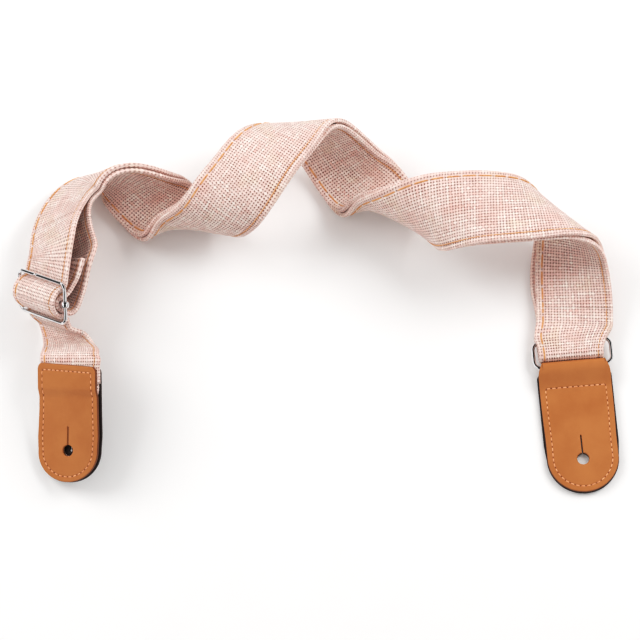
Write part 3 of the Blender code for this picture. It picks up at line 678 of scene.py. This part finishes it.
class Nodes:
    """Short forms for building a node tree, of a material or of the world."""

    def __init__(self, owner):
        owner.use_nodes = True
        self.owner, self.tree = owner, owner.node_tree

    def node(self, kind, **settings):
        made = self.tree.nodes.new(kind)
        for key, value in settings.items():
            setattr(made, key, value)
        return made

    def feed(self, socket, value):
        if hasattr(value, "is_output"):
            self.tree.links.new(value, socket)
        elif isinstance(value, tuple) and len(value) == 3 and socket.type == "RGBA":
            socket.default_value = (*value, 1.0)
        else:
            socket.default_value = value

    def fed(self, kind, values, **settings):
        """A new node with its first inputs filled in."""
        made = self.node(kind, **settings)
        for socket, value in zip(made.inputs, values):
            self.feed(socket, value)
        return made

    def math(self, operation, a, b=0.0):
        return self.fed("ShaderNodeMath", (a, b), operation=operation).outputs[0]

    def plus(self, a, b):
        return self.math("ADD", a, b)

    def minus(self, a, b):
        return self.math("SUBTRACT", a, b)

    def times(self, a, b):
        return self.math("MULTIPLY", a, b)

    def mix(self, factor, a, b):
        made = self.node("ShaderNodeMix", data_type="RGBA")
        self.feed(made.inputs["Factor"], factor)
        self.feed(made.inputs[6], a)
        self.feed(made.inputs[7], b)
        return made.outputs[2]

    def ramp(self, value, low, high, to_low=0.0, to_high=1.0, kind="SMOOTHSTEP"):
        return self.fed("ShaderNodeMapRange", (value, low, high, to_low, to_high),
                        interpolation_type=kind).outputs[0]

    def noise(self, vector, scale, detail=2.0, roughness=0.5):
        made = self.node("ShaderNodeTexNoise")
        for socket, value in (("Vector", vector), ("Scale", scale), ("Detail", detail),
                              ("Roughness", roughness)):
            self.feed(made.inputs[socket], value)
        return made.outputs["Fac"]

    def combine(self, x=0.0, y=0.0, z=0.0):
        return self.fed("ShaderNodeCombineXYZ", (x, y, z)).outputs[0]

    def split(self, vector):
        return self.fed("ShaderNodeSeparateXYZ", (vector,)).outputs

    def position(self):
        return self.node("ShaderNodeTexCoord").outputs["Object"]

    def bump(self, height, distance, strength):
        made = self.node("ShaderNodeBump")
        self.feed(made.inputs["Height"], height)
        self.feed(made.inputs["Distance"], distance)
        self.feed(made.inputs["Strength"], strength)
        return made.outputs[0]

    def out(self, **values):
        """Set the material's shader inputs and return the material."""
        shader = self.tree.nodes["Principled BSDF"]
        for name, value in values.items():
            self.feed(shader.inputs[name.replace("_", " ")], value)
        return self.owner


def material_nodes(name):
    return Nodes(bpy.data.materials.new(name))


def linen_material():
    """Coarse plain weave: yarns over and under each other, with painted shade between them and down
    their sides.
    """
    n = material_nodes("linen_weave")
    along, across, _ = n.split(n.node("ShaderNodeUVMap", uv_map="weave").outputs[0])

    def wobbling(a, b, seed):
        sway = n.times(n.minus(n.noise(n.combine(a, b, seed), 0.35, 2.0), 0.5), 0.30)
        return n.plus(n.plus(a, 0.5), sway)

    u, v = wobbling(along, across, 3.0), wobbling(across, along, 9.0)
    cell_u, cell_v = n.math("FLOOR", u), n.math("FLOOR", v)
    from_u = n.minus(n.minus(u, cell_u), 0.5)
    from_v = n.minus(n.minus(v, cell_v), 0.5)

    def yarn(cell, off, way, seed):
        """Rounded profile and colour number of one yarn; slubs swell it here and there."""
        where = n.combine(n.times(cell, 7.317), n.times(way, 0.11), seed)
        half = n.ramp(n.noise(where, 1.0, 2.0), 0.3, 0.7, 0.33, 0.47)
        share = n.math("DIVIDE", off, half)
        tone_at = n.combine(n.times(cell, 3.731), n.times(way, 0.045), seed + 5.0)
        return n.minus(1.0, n.times(share, share)), n.noise(tone_at, 1.0, 3.0, 0.65)

    def wave(way, cell):
        """Up and down of a yarn along its way, 0.45 high."""
        turned = n.times(n.plus(n.minus(way, 0.5), cell), math.pi)
        return n.times(n.math("COSINE", turned), 0.45)

    warp, warp_tone = yarn(cell_v, from_v, u, 1.0)
    weft, weft_tone = yarn(cell_u, from_u, v, 2.0)
    warp_high = n.plus(warp, wave(u, cell_v))
    weft_high = n.minus(weft, wave(v, cell_u))
    height = n.math("MAXIMUM", n.math("MAXIMUM", warp_high, weft_high), -0.6)
    warp_on_top = n.math("GREATER_THAN", warp_high, weft_high)
    tone = n.plus(weft_tone, n.times(warp_on_top, n.minus(warp_tone, weft_tone)))

    cream, pink, pale = (0.97, 0.84, 0.77), (0.90, 0.66, 0.60), (0.93, 0.84, 0.78)
    rose, tan, brown = (0.82, 0.47, 0.41), (0.84, 0.67, 0.50), (0.62, 0.40, 0.35)
    patch = n.noise(n.position(), 55.0, 2.0)
    fibre = n.noise(n.combine(n.times(u, 9.0), n.times(v, 9.0)), 1.0, 2.0)
    fleck = n.fed("ShaderNodeTexWhiteNoise", (n.combine(cell_u, cell_v),),
                  noise_dimensions="2D").outputs["Value"]
    colour = n.mix(n.ramp(tone, 0.38, 0.56), cream, pink)
    colour = n.mix(n.times(n.ramp(tone, 0.58, 0.68), 0.75), colour, rose)
    colour = n.mix(n.times(n.ramp(patch, 0.55, 0.72), 0.45), colour, tan)
    colour = n.mix(n.times(n.ramp(patch, 0.46, 0.30), 0.45), colour, rose)
    colour = n.mix(n.ramp(fibre, 0.3, 0.7, 0.0, 0.22), colour, pale)
    colour = n.mix(n.ramp(fleck, 0.0, 1.0, 0.0, 0.42, "LINEAR"), colour, brown)
    # Painted shade: the gaps between the yarns are dark, lighter on the band's rounded edges, and
    # each yarn darkens by height towards them.
    hole = n.mix(n.times(edge_mask(n, across), 0.7), (0.16, 0.045, 0.032), (0.55, 0.32, 0.28))
    colour = n.mix(n.ramp(height, -0.10, 1.05), hole, colour)
    total = n.plus(height, n.times(fibre, 0.25))
    return n.out(Base_Color=colour, Roughness=0.92, Sheen_Weight=0.25, Sheen_Roughness=0.5,
                 Specular_IOR_Level=0.15, Normal=n.bump(total, 0.00028, 0.9))


def edge_mask(n, girth):
    """1 on the band's rounded edges, where the weave is drawn tight and the painted shade between
    the yarns is lighter, and 0 elsewhere.
    """
    flat, turns = BAND_W - 2 * EDGE_R, GIRTH / 2
    middle = turns * (flat + math.pi * EDGE_R / 2) / (2 * flat + 2 * math.pi * EDGE_R)
    mask = 0.0
    for centre in (middle, middle + turns / 2, middle - turns / 2):
        off = n.math("ABSOLUTE", n.minus(girth, centre))
        mask = n.math("MAXIMUM", mask, n.ramp(off, 2.2, 0.9))
    return mask


def thread_material(name, light, dark):
    n = material_nodes(name)
    grain = n.noise(n.position(), 900.0, 3.0, 0.7)
    colour = n.mix(n.ramp(grain, 0.35, 0.65), dark, light)
    return n.out(Base_Color=colour, Roughness=0.62, Sheen_Weight=0.2,
                 Normal=n.bump(grain, 0.00012, 0.6))


def leather_material(name, base, deep, pale):
    """Smooth tanned leather: soft mottling, fine pores and creases, rubbed edges."""
    n = material_nodes(name)
    where = n.position()
    mottle = n.noise(where, 45.0, 4.0, 0.6)
    broad = n.noise(where, 14.0, 2.0)
    colour = n.mix(n.ramp(mottle, 0.3, 0.7), deep, base)
    colour = n.mix(n.ramp(broad, 0.35, 0.75, 0.0, 0.25), colour, pale)
    pores = n.fed("ShaderNodeTexVoronoi", (where,), feature="DISTANCE_TO_EDGE")
    n.feed(pores.inputs["Scale"], 1600.0)
    grain = n.ramp(pores.outputs["Distance"], 0.0, 0.12)
    fine = n.noise(where, 2600.0, 2.0)
    colour = n.mix(n.ramp(grain, 0.0, 1.0, 0.16, 0.0), colour, deep)
    height = n.plus(n.times(grain, 0.5), n.times(fine, 0.5))
    rough = n.ramp(mottle, 0.3, 0.7, 0.46, 0.60)
    return n.out(Base_Color=colour, Roughness=rough, Specular_IOR_Level=0.4,
                 Normal=n.bump(height, 0.00005, 0.6))


def backing_material():
    n = material_nodes("dark_backing_felt")
    grain = n.noise(n.position(), 1200.0, 4.0, 0.7)
    colour = n.mix(n.ramp(grain, 0.3, 0.7), (0.020, 0.013, 0.012), (0.060, 0.042, 0.040))
    return n.out(Base_Color=colour, Roughness=0.85, Normal=n.bump(grain, 0.0001, 0.7))


def chrome_material():
    """Polished plating with faint drawing marks and smudges."""
    n = material_nodes("polished_chrome")
    smudge = n.noise(n.position(), 260.0, 4.0, 0.6)
    marks = n.noise(n.position(), 2400.0, 2.0)
    colour = n.mix(n.ramp(smudge, 0.35, 0.7), (0.86, 0.86, 0.87), (0.72, 0.71, 0.72))
    return n.out(Base_Color=colour, Metallic=1.0, Roughness=n.ramp(smudge, 0.3, 0.75, 0.04, 0.09),
                 Normal=n.bump(marks, 0.00002, 0.3))


def floor_material():
    n = material_nodes("white_table")
    grain = n.noise(n.position(), 30.0, 2.0)
    colour = n.mix(grain, (0.90, 0.895, 0.89), (0.92, 0.915, 0.91))
    # Painted reflection: to glossy rays only, the table is dark beyond TABLE_HALF either side of the
    # stage's centre.
    x = n.split(n.node("ShaderNodeNewGeometry").outputs["Position"])[0]
    aside = n.math("ABSOLUTE", n.minus(x, STAGE_CENTRE[0]))
    mirrored = n.node("ShaderNodeLightPath").outputs["Is Glossy Ray"]
    dark = n.times(mirrored, n.ramp(aside, TABLE_HALF, TABLE_HALF + 0.02))
    colour = n.mix(dark, colour, (0.012, 0.011, 0.011))
    return n.out(Base_Color=colour, Roughness=0.7)


# ---------------------------------------------------------------- hardware

def dress(obj, body, node, slot):
    """Hang a piece on its body, in place of its CAD node."""
    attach(obj, body)
    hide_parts(node)


def rounded_loop(half_l, half_h, corner, straight=10):
    """Closed rounded rectangle in a plane, as x and y."""
    bends = []
    for i, (sx, sy) in enumerate(((1, 1), (-1, 1), (-1, -1), (1, -1))):
        bends.append(arc(sx * (half_l - corner), sy * (half_h - corner), corner,
                         90 * i, 90 * i + 90, 14))
    t = np.linspace(0, 1, straight + 2)[1:-1, None]
    points = []
    for bend, following in zip(bends, bends[1:] + bends[:1]):
        points += [bend, bend[-1] + (following[0] - bend[-1]) * t]
    return np.concatenate(points)


def wire(name, loop, frame_of, radius, chrome, closed=False):
    path = to_world(frame_of, np.column_stack([loop, np.zeros(len(loop))]))
    verts, faces = tube(path, radius, 20, closed=closed)
    return new_object(name, verts, faces, [chrome])


def adjuster_frame(chrome):
    """Wire rectangle; its two ends meet in the upper bar, left of the middle."""
    loop = rounded_loop(FRAME_L / 2, FRAME_H / 2, FRAME_CORNER, straight=24)
    meet = int(np.argmin(np.hypot(loop[:, 0] - FRAME_JOINT, loop[:, 1] - FRAME_H / 2)))
    loop = np.vstack([loop[meet:], loop[:meet + 1]])
    loop[0, 0] -= JOINT_GAP / 2
    loop[-1, 0] += JOINT_GAP / 2
    obj = wire("adjuster_frame_wire", loop, ADJUSTER, FRAME_WIRE, chrome)
    dress(obj, "adjuster", "adjuster_frame", "chrome")


def sleeve(x):
    """Rounded sleeve round a side wire, its axis along the wire."""
    a = np.linspace(0, 2 * math.pi, 32, endpoint=False)[:, None]
    b = np.linspace(0, 2 * math.pi, 16, endpoint=False)[None, :]
    radius = FRAME_WIRE + SLEEVE_PLAY + SLEEVE_T / 2 + SLEEVE_T / 2 * np.cos(b)
    points = np.stack([x + radius * np.cos(a), SLEEVE_L / 2 * np.sin(b) + 0 * a,
                       radius * np.sin(a)], axis=-1)
    faces = grid_faces(33, 16) % (32 * 16)      # the last ring of faces meets the first
    return to_world(ADJUSTER, points.reshape(-1, 3)), faces.tolist()


def adjuster_bar(chrome):
    """Centre bar with a sleeve round each side wire."""
    reach = FRAME_L / 2
    x = np.linspace(BAR_SHORT - reach, reach - BAR_SHORT, 40)
    verts, faces = joined([tube(to_world(ADJUSTER, np.column_stack([x, 0 * x, 0 * x])), BAR_R, 16),
                           sleeve(-reach), sleeve(reach)])
    obj = new_object("adjuster_centre_bar_wire", verts, faces, [chrome])
    dress(obj, "adjuster", "adjuster_centre_bar", "chrome")


def end_ring(chrome):
    loop = rounded_loop(RING_L / 2, RING_H / 2, RING_CORNER)
    obj = wire("end_ring_wire", loop, RING, RING_WIRE, chrome, closed=True)
    dress(obj, "ring", "end_ring", "chrome")


# ---------------------------------------------------------------- leather tabs

def even_path(points, count):
    """The polyline resampled to count points, ends included."""
    points = np.asarray(points, float)
    length = running_length(points)
    at = np.linspace(0, length[-1], count)
    return np.stack([np.interp(at, length, c) for c in points.T], axis=1)


def mirrored_loop(side, counts):
    """Closed loop from its right half, given as stretches between landmarks.

    Each stretch is resampled to its own count, so that loops with the same landmarks and
    counts match point by point. The half starts at the top middle and ends at the bottom.
    """
    half = [even_path(stretch, n + 1)[:-1] for stretch, n in zip(side, counts)]
    half = np.concatenate(half + [np.asarray(side[-1][-1:], float)])
    other = half[1:-1][::-1] * np.array([-1.0, 1.0])
    return np.concatenate([half, other])


def arc(cx, cy, r, start, end, steps=24):
    a = np.radians(np.linspace(start, end, steps))
    return np.column_stack([cx + r * np.cos(a), cy + r * np.sin(a)])


EDGE_RINGS = 2                  # rings of a sheet's outline that have the edge's look
COUNTS = (26, 8, 60, 44)        # top edge, corner, side, rounded end


def tab_loop(inset, top, corner, half_at):
    """Tab outline at an inset: half_at gives the half width at each distance along it."""
    half_top = half_at(top) - inset
    end_r = TAB_END_R - inset
    centre_y = -TAB_L + TAB_END_R
    top_edge = [(0.0, top - inset), (half_top - corner, top - inset)]
    bend = arc(half_top - corner, top - inset - corner, corner, 90, 0, 12)
    ys = np.linspace(top - inset - corner, centre_y, 60)
    side = np.column_stack([[half_at(y) - inset for y in ys], ys])
    side[-12:, 0] = np.interp(np.arange(12), [0, 11], [side[-12, 0], end_r])
    end = arc(0.0, centre_y, end_r, 0, -90, 40)
    return mirrored_loop([top_edge, bend, side, end], COUNTS)


def keyhole_loop(radius=HOLE_R):
    """Button hole with its slit; its stretches match the tab's."""
    half = SLIT_W / 2
    slit_top = -HOLE_AT + HOLE_R + SLIT_L
    open_angle = math.degrees(math.asin(half / radius))
    meets = -HOLE_AT + radius * math.cos(math.radians(open_angle))
    top = [(0.0, slit_top), (half * 0.6, slit_top)]
    bend = [(half * 0.6, slit_top), (half, slit_top - 0.25)]
    side = np.vstack([[(half, slit_top - 0.25), (half, meets)],
                      arc(0.0, -HOLE_AT, radius, 90 - open_angle, 0, 12)])
    end = arc(0.0, -HOLE_AT, radius, 0, -90, 24)
    return mirrored_loop([top, bend, side, end], COUNTS)


def between(a, b, first, last, middle):
    """Rings from loop a to loop b: at fixed distances from each, and evenly in between."""
    gap = b - a
    length = np.linalg.norm(gap, axis=1, keepdims=True)
    way = gap / length
    rings = [a + np.minimum(d, 0.3 * length) * way for d in first]
    start, stop = rings[-1], b - np.minimum(last[0], 0.3 * length) * way
    rings += [start + (stop - start) * t for t in np.linspace(0, 1, middle + 2)[1:-1]]
    rings += [b - np.minimum(d, 0.3 * length) * way for d in last]
    return rings


def leather_sheet(outer, stitch, hole, thickness, middle, groove=0.45):
    """Rings and heights of a sheet with rounded edges, a stitch groove and a keyhole."""
    half = thickness / 2
    edge = [(0.0, 0.0), (0.06, 0.5), (0.25, 0.8), (0.6, 0.96), (1.1, 1.0)]
    valley = [(1.0, 0.0), (0.62, -0.12), (0.3, -0.75)]
    rings = [(r, half * z) for r, (_, z) in zip(between(outer, stitch, [d for d, _ in edge],
             [1.0], 0)[:5], edge)]
    body = between(outer, stitch, [1.1], [d for d, _ in valley], middle)[1:]
    heights = [half] * (len(body) - 3) + [half + groove * z for _, z in valley]
    rings += list(zip(body, heights))
    rings.append((stitch, half - groove))
    inner = between(stitch, hole, [d for d, _ in valley[::-1]], [1.0, 0.4, 0.12], 22)
    heights = [half + groove * z for _, z in valley[::-1]]
    heights += [half] * (len(inner) - 6) + [half, half - 0.06, half - 0.3]
    rings += list(zip(inner, heights))
    rings.append((hole, 0.0))
    under = [(r, -half if h > 0.6 * half else -h) for r, h in rings[1:-1]][::-1]
    return rings + under


def sheet_object(name, rings, place, mats):
    """Closed solid through rings of points in a tab's plane, put in place by a function."""
    n = len(rings[0][0])
    verts = [place(np.column_stack([ring, np.full(n, h)])) for ring, h in rings]
    m = len(rings)
    faces, parts = [], []
    for i in range(m):
        parts += [1 if i < EDGE_RINGS or i >= m - EDGE_RINGS - 1 else 0] * n
        j = (i + 1) % m
        k = np.arange(n)
        l = (k + 1) % n
        faces += np.stack([i * n + k, i * n + l, j * n + l, j * n + k], axis=1).tolist()
    return new_object(name, np.concatenate(verts), faces, mats, material_of=parts)


def plain_half(y):
    return TAB_W / 2


def tab_stitches(tab, loop, place, face, mats):
    """Stitches round a tab, each dipping into the leather at its ends, and dark marks of painted
    shade at the needle holes.
    """
    closed = np.vstack([loop, loop[:1]])
    length = running_length(closed)
    count = int(round(length[-1] / STITCH_PITCH))
    pitch = length[-1] / count
    height = face - STITCH_SINK

    def piece(at, z, size):
        xy = np.stack([np.interp(at % length[-1], length, c) for c in closed.T], axis=1)
        return tube(place(np.column_stack([xy, z])), size, 8)

    t = np.linspace(-0.5, 0.5, 11)
    rise = height - 1.5 * STITCH_R + 1.75 * STITCH_R * (1 - np.abs(2 * t) ** 3)
    size = STITCH_R * (0.45 + 0.55 * np.sqrt(np.maximum(0.0, 1 - (2 * t) ** 4)))
    threads = [piece(i * pitch + t * STITCH_L, rise, size) for i in range(count)]
    # Painted shade: a short dark tube in the groove between each pair of stitches stands for a
    # needle hole's shade.
    gap = np.linspace(-0.45, 0.45, 7) * (pitch - STITCH_L * 0.8)
    size = NEEDLE_R * np.sin(np.linspace(0.35, math.pi - 0.35, 7))
    painted_hole_shades = [piece((i + 0.5) * pitch + gap, np.full(7, height - 0.12), size)
             for i in range(count)]
    verts, faces = joined(threads + painted_hole_shades)
    in_thread = sum(len(f) for _, f in threads)
    parts = [0] * in_thread + [1] * (len(faces) - in_thread)
    obj = new_object(tab + "_stitches", verts, faces, [mats["tab_thread"], mats["painted_needle_hole_shade"]],
                     material_of=parts)
    dress(obj, tab, tab + "_stitching", "orange_thread")


def curl_path():
    """Side view of the right tab's leather: flat, up to the ring's bar, over it and under."""
    bar_z = RING[2, 3]
    radius = RING_WIRE + CURL_PLAY + LEATHER_T / 2
    flat_z = BACKING_T + TAB_GAP + LEATHER_T / 2
    over = np.radians(np.arange(0, 181, 20))
    path = [(y, flat_z) for y in range(-90, -19, 5)] + CURL_CLIMB
    path += [(radius * math.sin(a), bar_z + radius * math.cos(a)) for a in over] + CURL_UNDER
    path = np.array(path, float)
    knots = running_length(path)
    fine = natural_spline(knots, path, np.linspace(0, knots[-1], 900))
    length = running_length(fine)
    length += -TAB_L - np.interp(-TAB_L, fine[:300, 0], length[:300])
    slope = unit(np.gradient(fine, axis=0))
    return length, fine, np.column_stack([-slope[:, 1], slope[:, 0]])


def curl_half(y):
    """Half width of the right tab's leather: narrow at the curl, slightly tapered below."""
    shoulder = 1.0 - min(max((3.0 - y) / 9.0, 0.0), 1.0)
    taper = TAB_TAPER * float(smoothstep((-25 - y) / 35.0))
    return CURL_HALF + CURL_WIDENS * (1 - shoulder ** 2) - taper


def right_tab(mats):
    bar = np.eye(4)
    bar[:3, :3] = RING[:3, :3]
    bar[:3, 3] = to_world(RING, (0, -RING_H / 2, 0))
    bar[2, 3] = 0.0
    length, fine, normal = curl_path()
    stitch_top = STITCH_INSET - STITCH_TOP

    def place(points):
        along = [np.interp(points[:, 1], length, c) for c in fine.T]
        up = [np.interp(points[:, 1], length, c) for c in normal.T]
        y, z = along[0] + up[0] * points[:, 2], along[1] + up[1] * points[:, 2]
        return to_world(bar, np.column_stack([points[:, 0], y, z]))

    def on_table(points):
        return to_world(bar, points + np.array([0, 0, BACKING_T / 2 + 0.05]))

    outer = tab_loop(0.0, length[-1], 1.0, curl_half)
    stitch = tab_loop(STITCH_INSET, stitch_top, STITCH_CORNER, curl_half)
    rings = leather_sheet(outer, stitch, keyhole_loop(), LEATHER_T, 46)
    leather = sheet_object("right_tab_leather_sheet", rings, place,
                           [mats["leather"], mats["leather_edge"]])
    dress(leather, "right_tab", "right_tab_leather", "tan_leather")
    tab_stitches("right_tab", stitch, place, LEATHER_T / 2, mats)
    outer = tab_loop(-0.3, -3.0, 4.0, plain_half)
    stitch = tab_loop(STITCH_INSET, stitch_top, STITCH_CORNER, plain_half)
    rings = leather_sheet(outer, stitch, keyhole_loop(), BACKING_T, 8, groove=0.0)
    backing = sheet_object("right_tab_backing_sheet", rings, on_table, [mats["backing"]] * 2)
    dress(backing, "right_tab", "right_tab_backing", "dark_backing")


def left_tab(mats):
    """Leather and backing held apart by the band's end at the top, and together below it."""
    half = INSERT_T / 2
    top = -TAB_MOUTH - LEFT_TAB_CUT
    layers = (("leather", LEATHER_T, half + TAB_GAP + LEATHER_T / 2, 0.0, 0.45, "tan_leather"),
              ("strap_end", INSERT_T, 0.0, 0.5, 0.0, "linen"),
              ("backing", BACKING_T, -half - TAB_GAP - BACKING_T / 2, -0.2, 0.0, "dark_backing"))
    drops = {"leather": half + TAB_GAP - 0.1, "strap_end": half - 0.1, "backing": 0.0}
    stitch = tab_loop(STITCH_INSET, top, STITCH_CORNER, plain_half)
    for look, thick, middle, inset, groove, slot in layers:
        def place(points, middle=middle, look=look):
            x, y, z = points.T
            y = y + LEFT_TAB_CUT
            below = smoothstep((-INSERT_L - y) / KINK_L)
            if look == "strap_end":
                x = x * (1.0 - INSERT_SHRINKS * below)
                y = y + INSERT_SHRINKS * below * (-45.0 - y)
                z = z * (1.0 - INSERT_THINS * below)
            z = middle + z - drops[look] * below
            low = smoothstep((-20.0 - y) / 60.0)
            turn = math.radians(LEFT_TAB_TWIST) * low
            x = x - LEFT_TAB_ASIDE - LEFT_TAB_SWAY * low
            y = y - LEFT_TAB_SLANT * x * smoothstep((y + 30.0) / 30.0)
            y = y - LEFT_TAB_STRETCH * np.sin(math.pi * np.clip(-y / 80.0, 0.0, 1.0))
            return to_world(LEFT_TAB, np.column_stack([x * np.cos(turn) + z * np.sin(turn), y,
                                                       z * np.cos(turn) - x * np.sin(turn)]))

        outer = tab_loop(inset, top + inset, 4.0, plain_half)
        rings = leather_sheet(outer, stitch, keyhole_loop(LEFT_HOLES[look]), thick, 6, groove)
        mat = mats["linen" if look == "strap_end" else look]
        edge = mats["leather_edge"] if look == "leather" else mat
        obj = sheet_object("left_tab_" + look + "_sheet", rings, place, [mat, edge])
        if look == "strap_end":
            flat_weave(obj)
        dress(obj, "left_tab", "left_tab_" + look, slot)
        if look == "leather":
            tab_stitches("left_tab", stitch, place, thick / 2, mats)


def flat_weave(obj):
    """Weave coordinates for a flat piece of the band, from its place in the left tab."""
    mesh = obj.data
    co = np.empty(len(mesh.vertices) * 3)
    mesh.vertices.foreach_get("co", co)
    local = to_local(LEFT_TAB, co.reshape(-1, 3) / MM)
    index = np.empty(len(mesh.loops), int)
    mesh.loops.foreach_get("vertex_index", index)
    uv = np.column_stack([local[:, 1] + local[:, 2], local[:, 0] + local[:, 2]]) / YARN
    layer = mesh.uv_layers.new(name="weave")
    layer.data.foreach_set("uv", uv[index].astype(np.float32).ravel())


# ---------------------------------------------------------------- putting the band together

def crossing(sheet, seam, stop):
    """Two points, from just past a seam row towards a stop row, square to the seam."""
    centre = sheet.rows[:, COLUMNS // 2]
    row = sheet.rows[seam]
    across = unit(row[-1] - row[0])
    away = unit(centre[seam + (3 if stop > seam else -3)] - centre[seam])
    away = unit(away - np.dot(away, across) * across)
    start = centre[seam] + 1.5 * away
    reach = abs(np.dot(centre[stop] - start, away))
    return tuple(start * MM), tuple((start + reach * away) * MM)


def strap(mats):
    sheet = Sheet()
    run_end = sheet.s_outer[1][-1]
    right_flex = run_end - RIGHT_FLEX_BACK

    def marks(row_of, split):
        places = {"seam": SEAM_AT, "flex_a": LEFT_FLEX_AT + 9, "flex_b": LEFT_FLEX_AT - 8,
                  "split": split, "right_a": right_flex - 11, "right_b": right_flex + 12,
                  "end": run_end - RIGHT_END_BACK}
        return {name: row_of(s) for name, s in places.items()}

    outer, inner = marks(sheet.outer_row, SPLIT_OUTER), marks(sheet.inner_row, SPLIT_INNER)
    centre = sheet.rows[:, COLUMNS // 2]

    def ends(a, b):
        return tuple(centre[a] * MM), tuple(centre[b] * MM)

    crest = sheet.crest // 2 * 2
    lower_seam = (sheet.below_frame - 6) // 2 * 2
    plan = [
        ("outer_strap_west", outer["seam"], outer["split"], ("coil", "left_drop"),
         ends(outer["flex_a"], outer["flex_b"]), ("outer_strap_left",)),
        ("outer_strap_east", outer["split"], outer["end"], ("coil", "right_drop"),
         ends(outer["right_a"], outer["right_b"]), ("outer_strap_coil", "outer_strap_right")),
        ("strap_ring_turn", outer["end"], inner["end"], "right_drop", None,
         ("strap_ring_fold",)),
        ("inner_strap_east", inner["end"], inner["split"], ("coil", "right_drop"),
         ends(inner["right_a"], inner["right_b"]), ("inner_strap_coil", "inner_strap_right")),
        ("inner_strap_west", inner["split"], inner["seam"], ("coil", "left_drop"),
         ends(inner["flex_a"], inner["flex_b"]), ("inner_strap_left",)),
        ("inner_strap_bar_loop", inner["seam"], sheet.count - 1, ("left_drop", "adjuster"),
         crossing(sheet, inner["seam"], inner["seam"] + LONG_BLEND), ("inner_strap_end_loop",)),
        ("outer_strap_hump_upper", crest, outer["seam"], ("left_drop", "adjuster"),
         crossing(sheet, outer["seam"], outer["seam"] - LONG_BLEND), ("outer_strap_hump",)),
        ("outer_strap_hump_lower", lower_seam, crest, ("left_drop", "adjuster"),
         crossing(sheet, lower_seam, lower_seam + SHORT_BLEND), ("outer_strap_hump",)),
        ("outer_strap_below", 0, lower_seam, ("left_drop", "left_tab"),
         crossing(sheet, lower_seam, sheet.tab_top), ("outer_strap_lower",)),
    ]
    for name, first, last, bodies, places, stands_for in plan:
        cloth = strap_piece(name, sheet, first, last, mats["linen"])
        thread = stitch_piece(name + "_topstitch", sheet, first, last, mats["thread"])
        for obj in (cloth, thread):
            if places is None:
                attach(obj, bodies)
            else:
                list(bodies)
                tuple(places[0])
                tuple(places[1])
                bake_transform(obj)
        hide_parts(*stands_for)


# ---------------------------------------------------------------- stage

def area_light(name, at, size, power):
    """Square light turned to the stage's centre; polished metal doesn't mirror it."""
    data = bpy.data.lights.new(name, "AREA")
    data.shape = "RECTANGLE"
    data.size = data.size_y = size
    data.energy = power
    obj = bpy.data.objects.new(name, data)
    obj.visible_glossy = False
    obj.location = at
    towards = Vector(STAGE_CENTRE) - Vector(at)
    obj.rotation_euler = towards.to_track_quat("-Z", "Y").to_euler()
    bpy.context.scene.collection.objects.link(obj)


def studio_world():
    """Even white surroundings; what polished metal mirrors is a tent with two dark openings."""
    world = bpy.data.worlds.new("soft_studio")
    bpy.context.scene.world = world
    n = Nodes(world)
    background = n.tree.nodes["Background"]
    background.inputs["Color"].default_value = (1.0, 0.99, 0.985, 1.0)
    towards = n.node("ShaderNodeTexCoord").outputs["Generated"]

    def nearness(to):
        made = n.fed("ShaderNodeVectorMath", (towards, to), operation="DOT_PRODUCT")
        return made.outputs["Value"]

    cloth = n.times(n.ramp(nearness(OPENING), 0.76, 0.68),
                    n.ramp(nearness(FRONT_OPENING), 0.90, 0.82))
    tent = n.times(cloth, n.ramp(n.split(towards)[2], 0.10, 0.22))
    mirrored = n.plus(n.times(tent, TENT_LIGHT), 0.02)
    glossy = n.node("ShaderNodeLightPath").outputs["Is Glossy Ray"]
    plain = n.times(n.minus(1.0, glossy), WORLD_LIGHT)
    n.feed(background.inputs["Strength"], n.plus(n.times(glossy, mirrored), plain))


def stage():
    x, y = TABLE_SIZE * np.array([-1, 1, 1, -1]) / MM, TABLE_SIZE * np.array([-1, -1, 1, 1]) / MM
    floor = new_object("table_top", np.column_stack([x, y, 0 * x]), [(0, 1, 2, 3)],
                       [floor_material()])
    floor.location = (STAGE_CENTRE[0], STAGE_CENTRE[1], -TABLE_DROP)
    studio_world()
    for softbox in SOFTBOXES:
        area_light(*softbox)


def camera():
    data = bpy.data.cameras.new("camera")
    data.sensor_width = SENSOR
    data.lens = SENSOR * CAMERA_FAR / VIEW_WIDTH
    data.clip_start = 0.01
    obj = bpy.data.objects.new("camera", data)
    target, elevation = Vector(STAGE_CENTRE), math.radians(CAMERA_UP)
    back = Vector((0.0, -math.cos(elevation), math.sin(elevation)))
    obj.location = target + CAMERA_FAR * back
    obj.rotation_euler = (-back).to_track_quat("-Z", "Y").to_euler()
    bpy.context.scene.collection.objects.link(obj)
    bpy.context.scene.camera = obj
    view = bpy.context.scene.view_settings
    view.view_transform = "Standard"
    view.use_curve_mapping = True
    tone = view.curve_mapping.curves[3]
    for shade, shown in TONE_CURVE:
        tone.points.new(shade, shown)
    view.curve_mapping.update()


def main():
    mats = {
        "linen": linen_material(),
        "thread": thread_material("orange_topstitch", (0.80, 0.43, 0.20), (0.50, 0.20, 0.08)),
        "tab_thread": thread_material("tab_topstitch", (0.88, 0.47, 0.28), (0.70, 0.29, 0.14)),
        "leather": leather_material("tan_leather_grain", (0.47, 0.194, 0.068),
                                    (0.42, 0.162, 0.052), (0.52, 0.228, 0.088)),
        "leather_edge": leather_material("tan_leather_edge", (0.22, 0.075, 0.026),
                                         (0.15, 0.048, 0.018), (0.27, 0.10, 0.036)),
        # painted shade of the needle holes
        "painted_needle_hole_shade": thread_material("painted_needle_hole_shade", (0.16, 0.045, 0.016), (0.08, 0.02, 0.008)),
        "backing": backing_material(),
        "chrome": chrome_material(),
    }
    strap(mats)
    adjuster_frame(mats["chrome"])
    adjuster_bar(mats["chrome"])
    end_ring(mats["chrome"])
    right_tab(mats)
    left_tab(mats)
    stage()
    camera()


main()
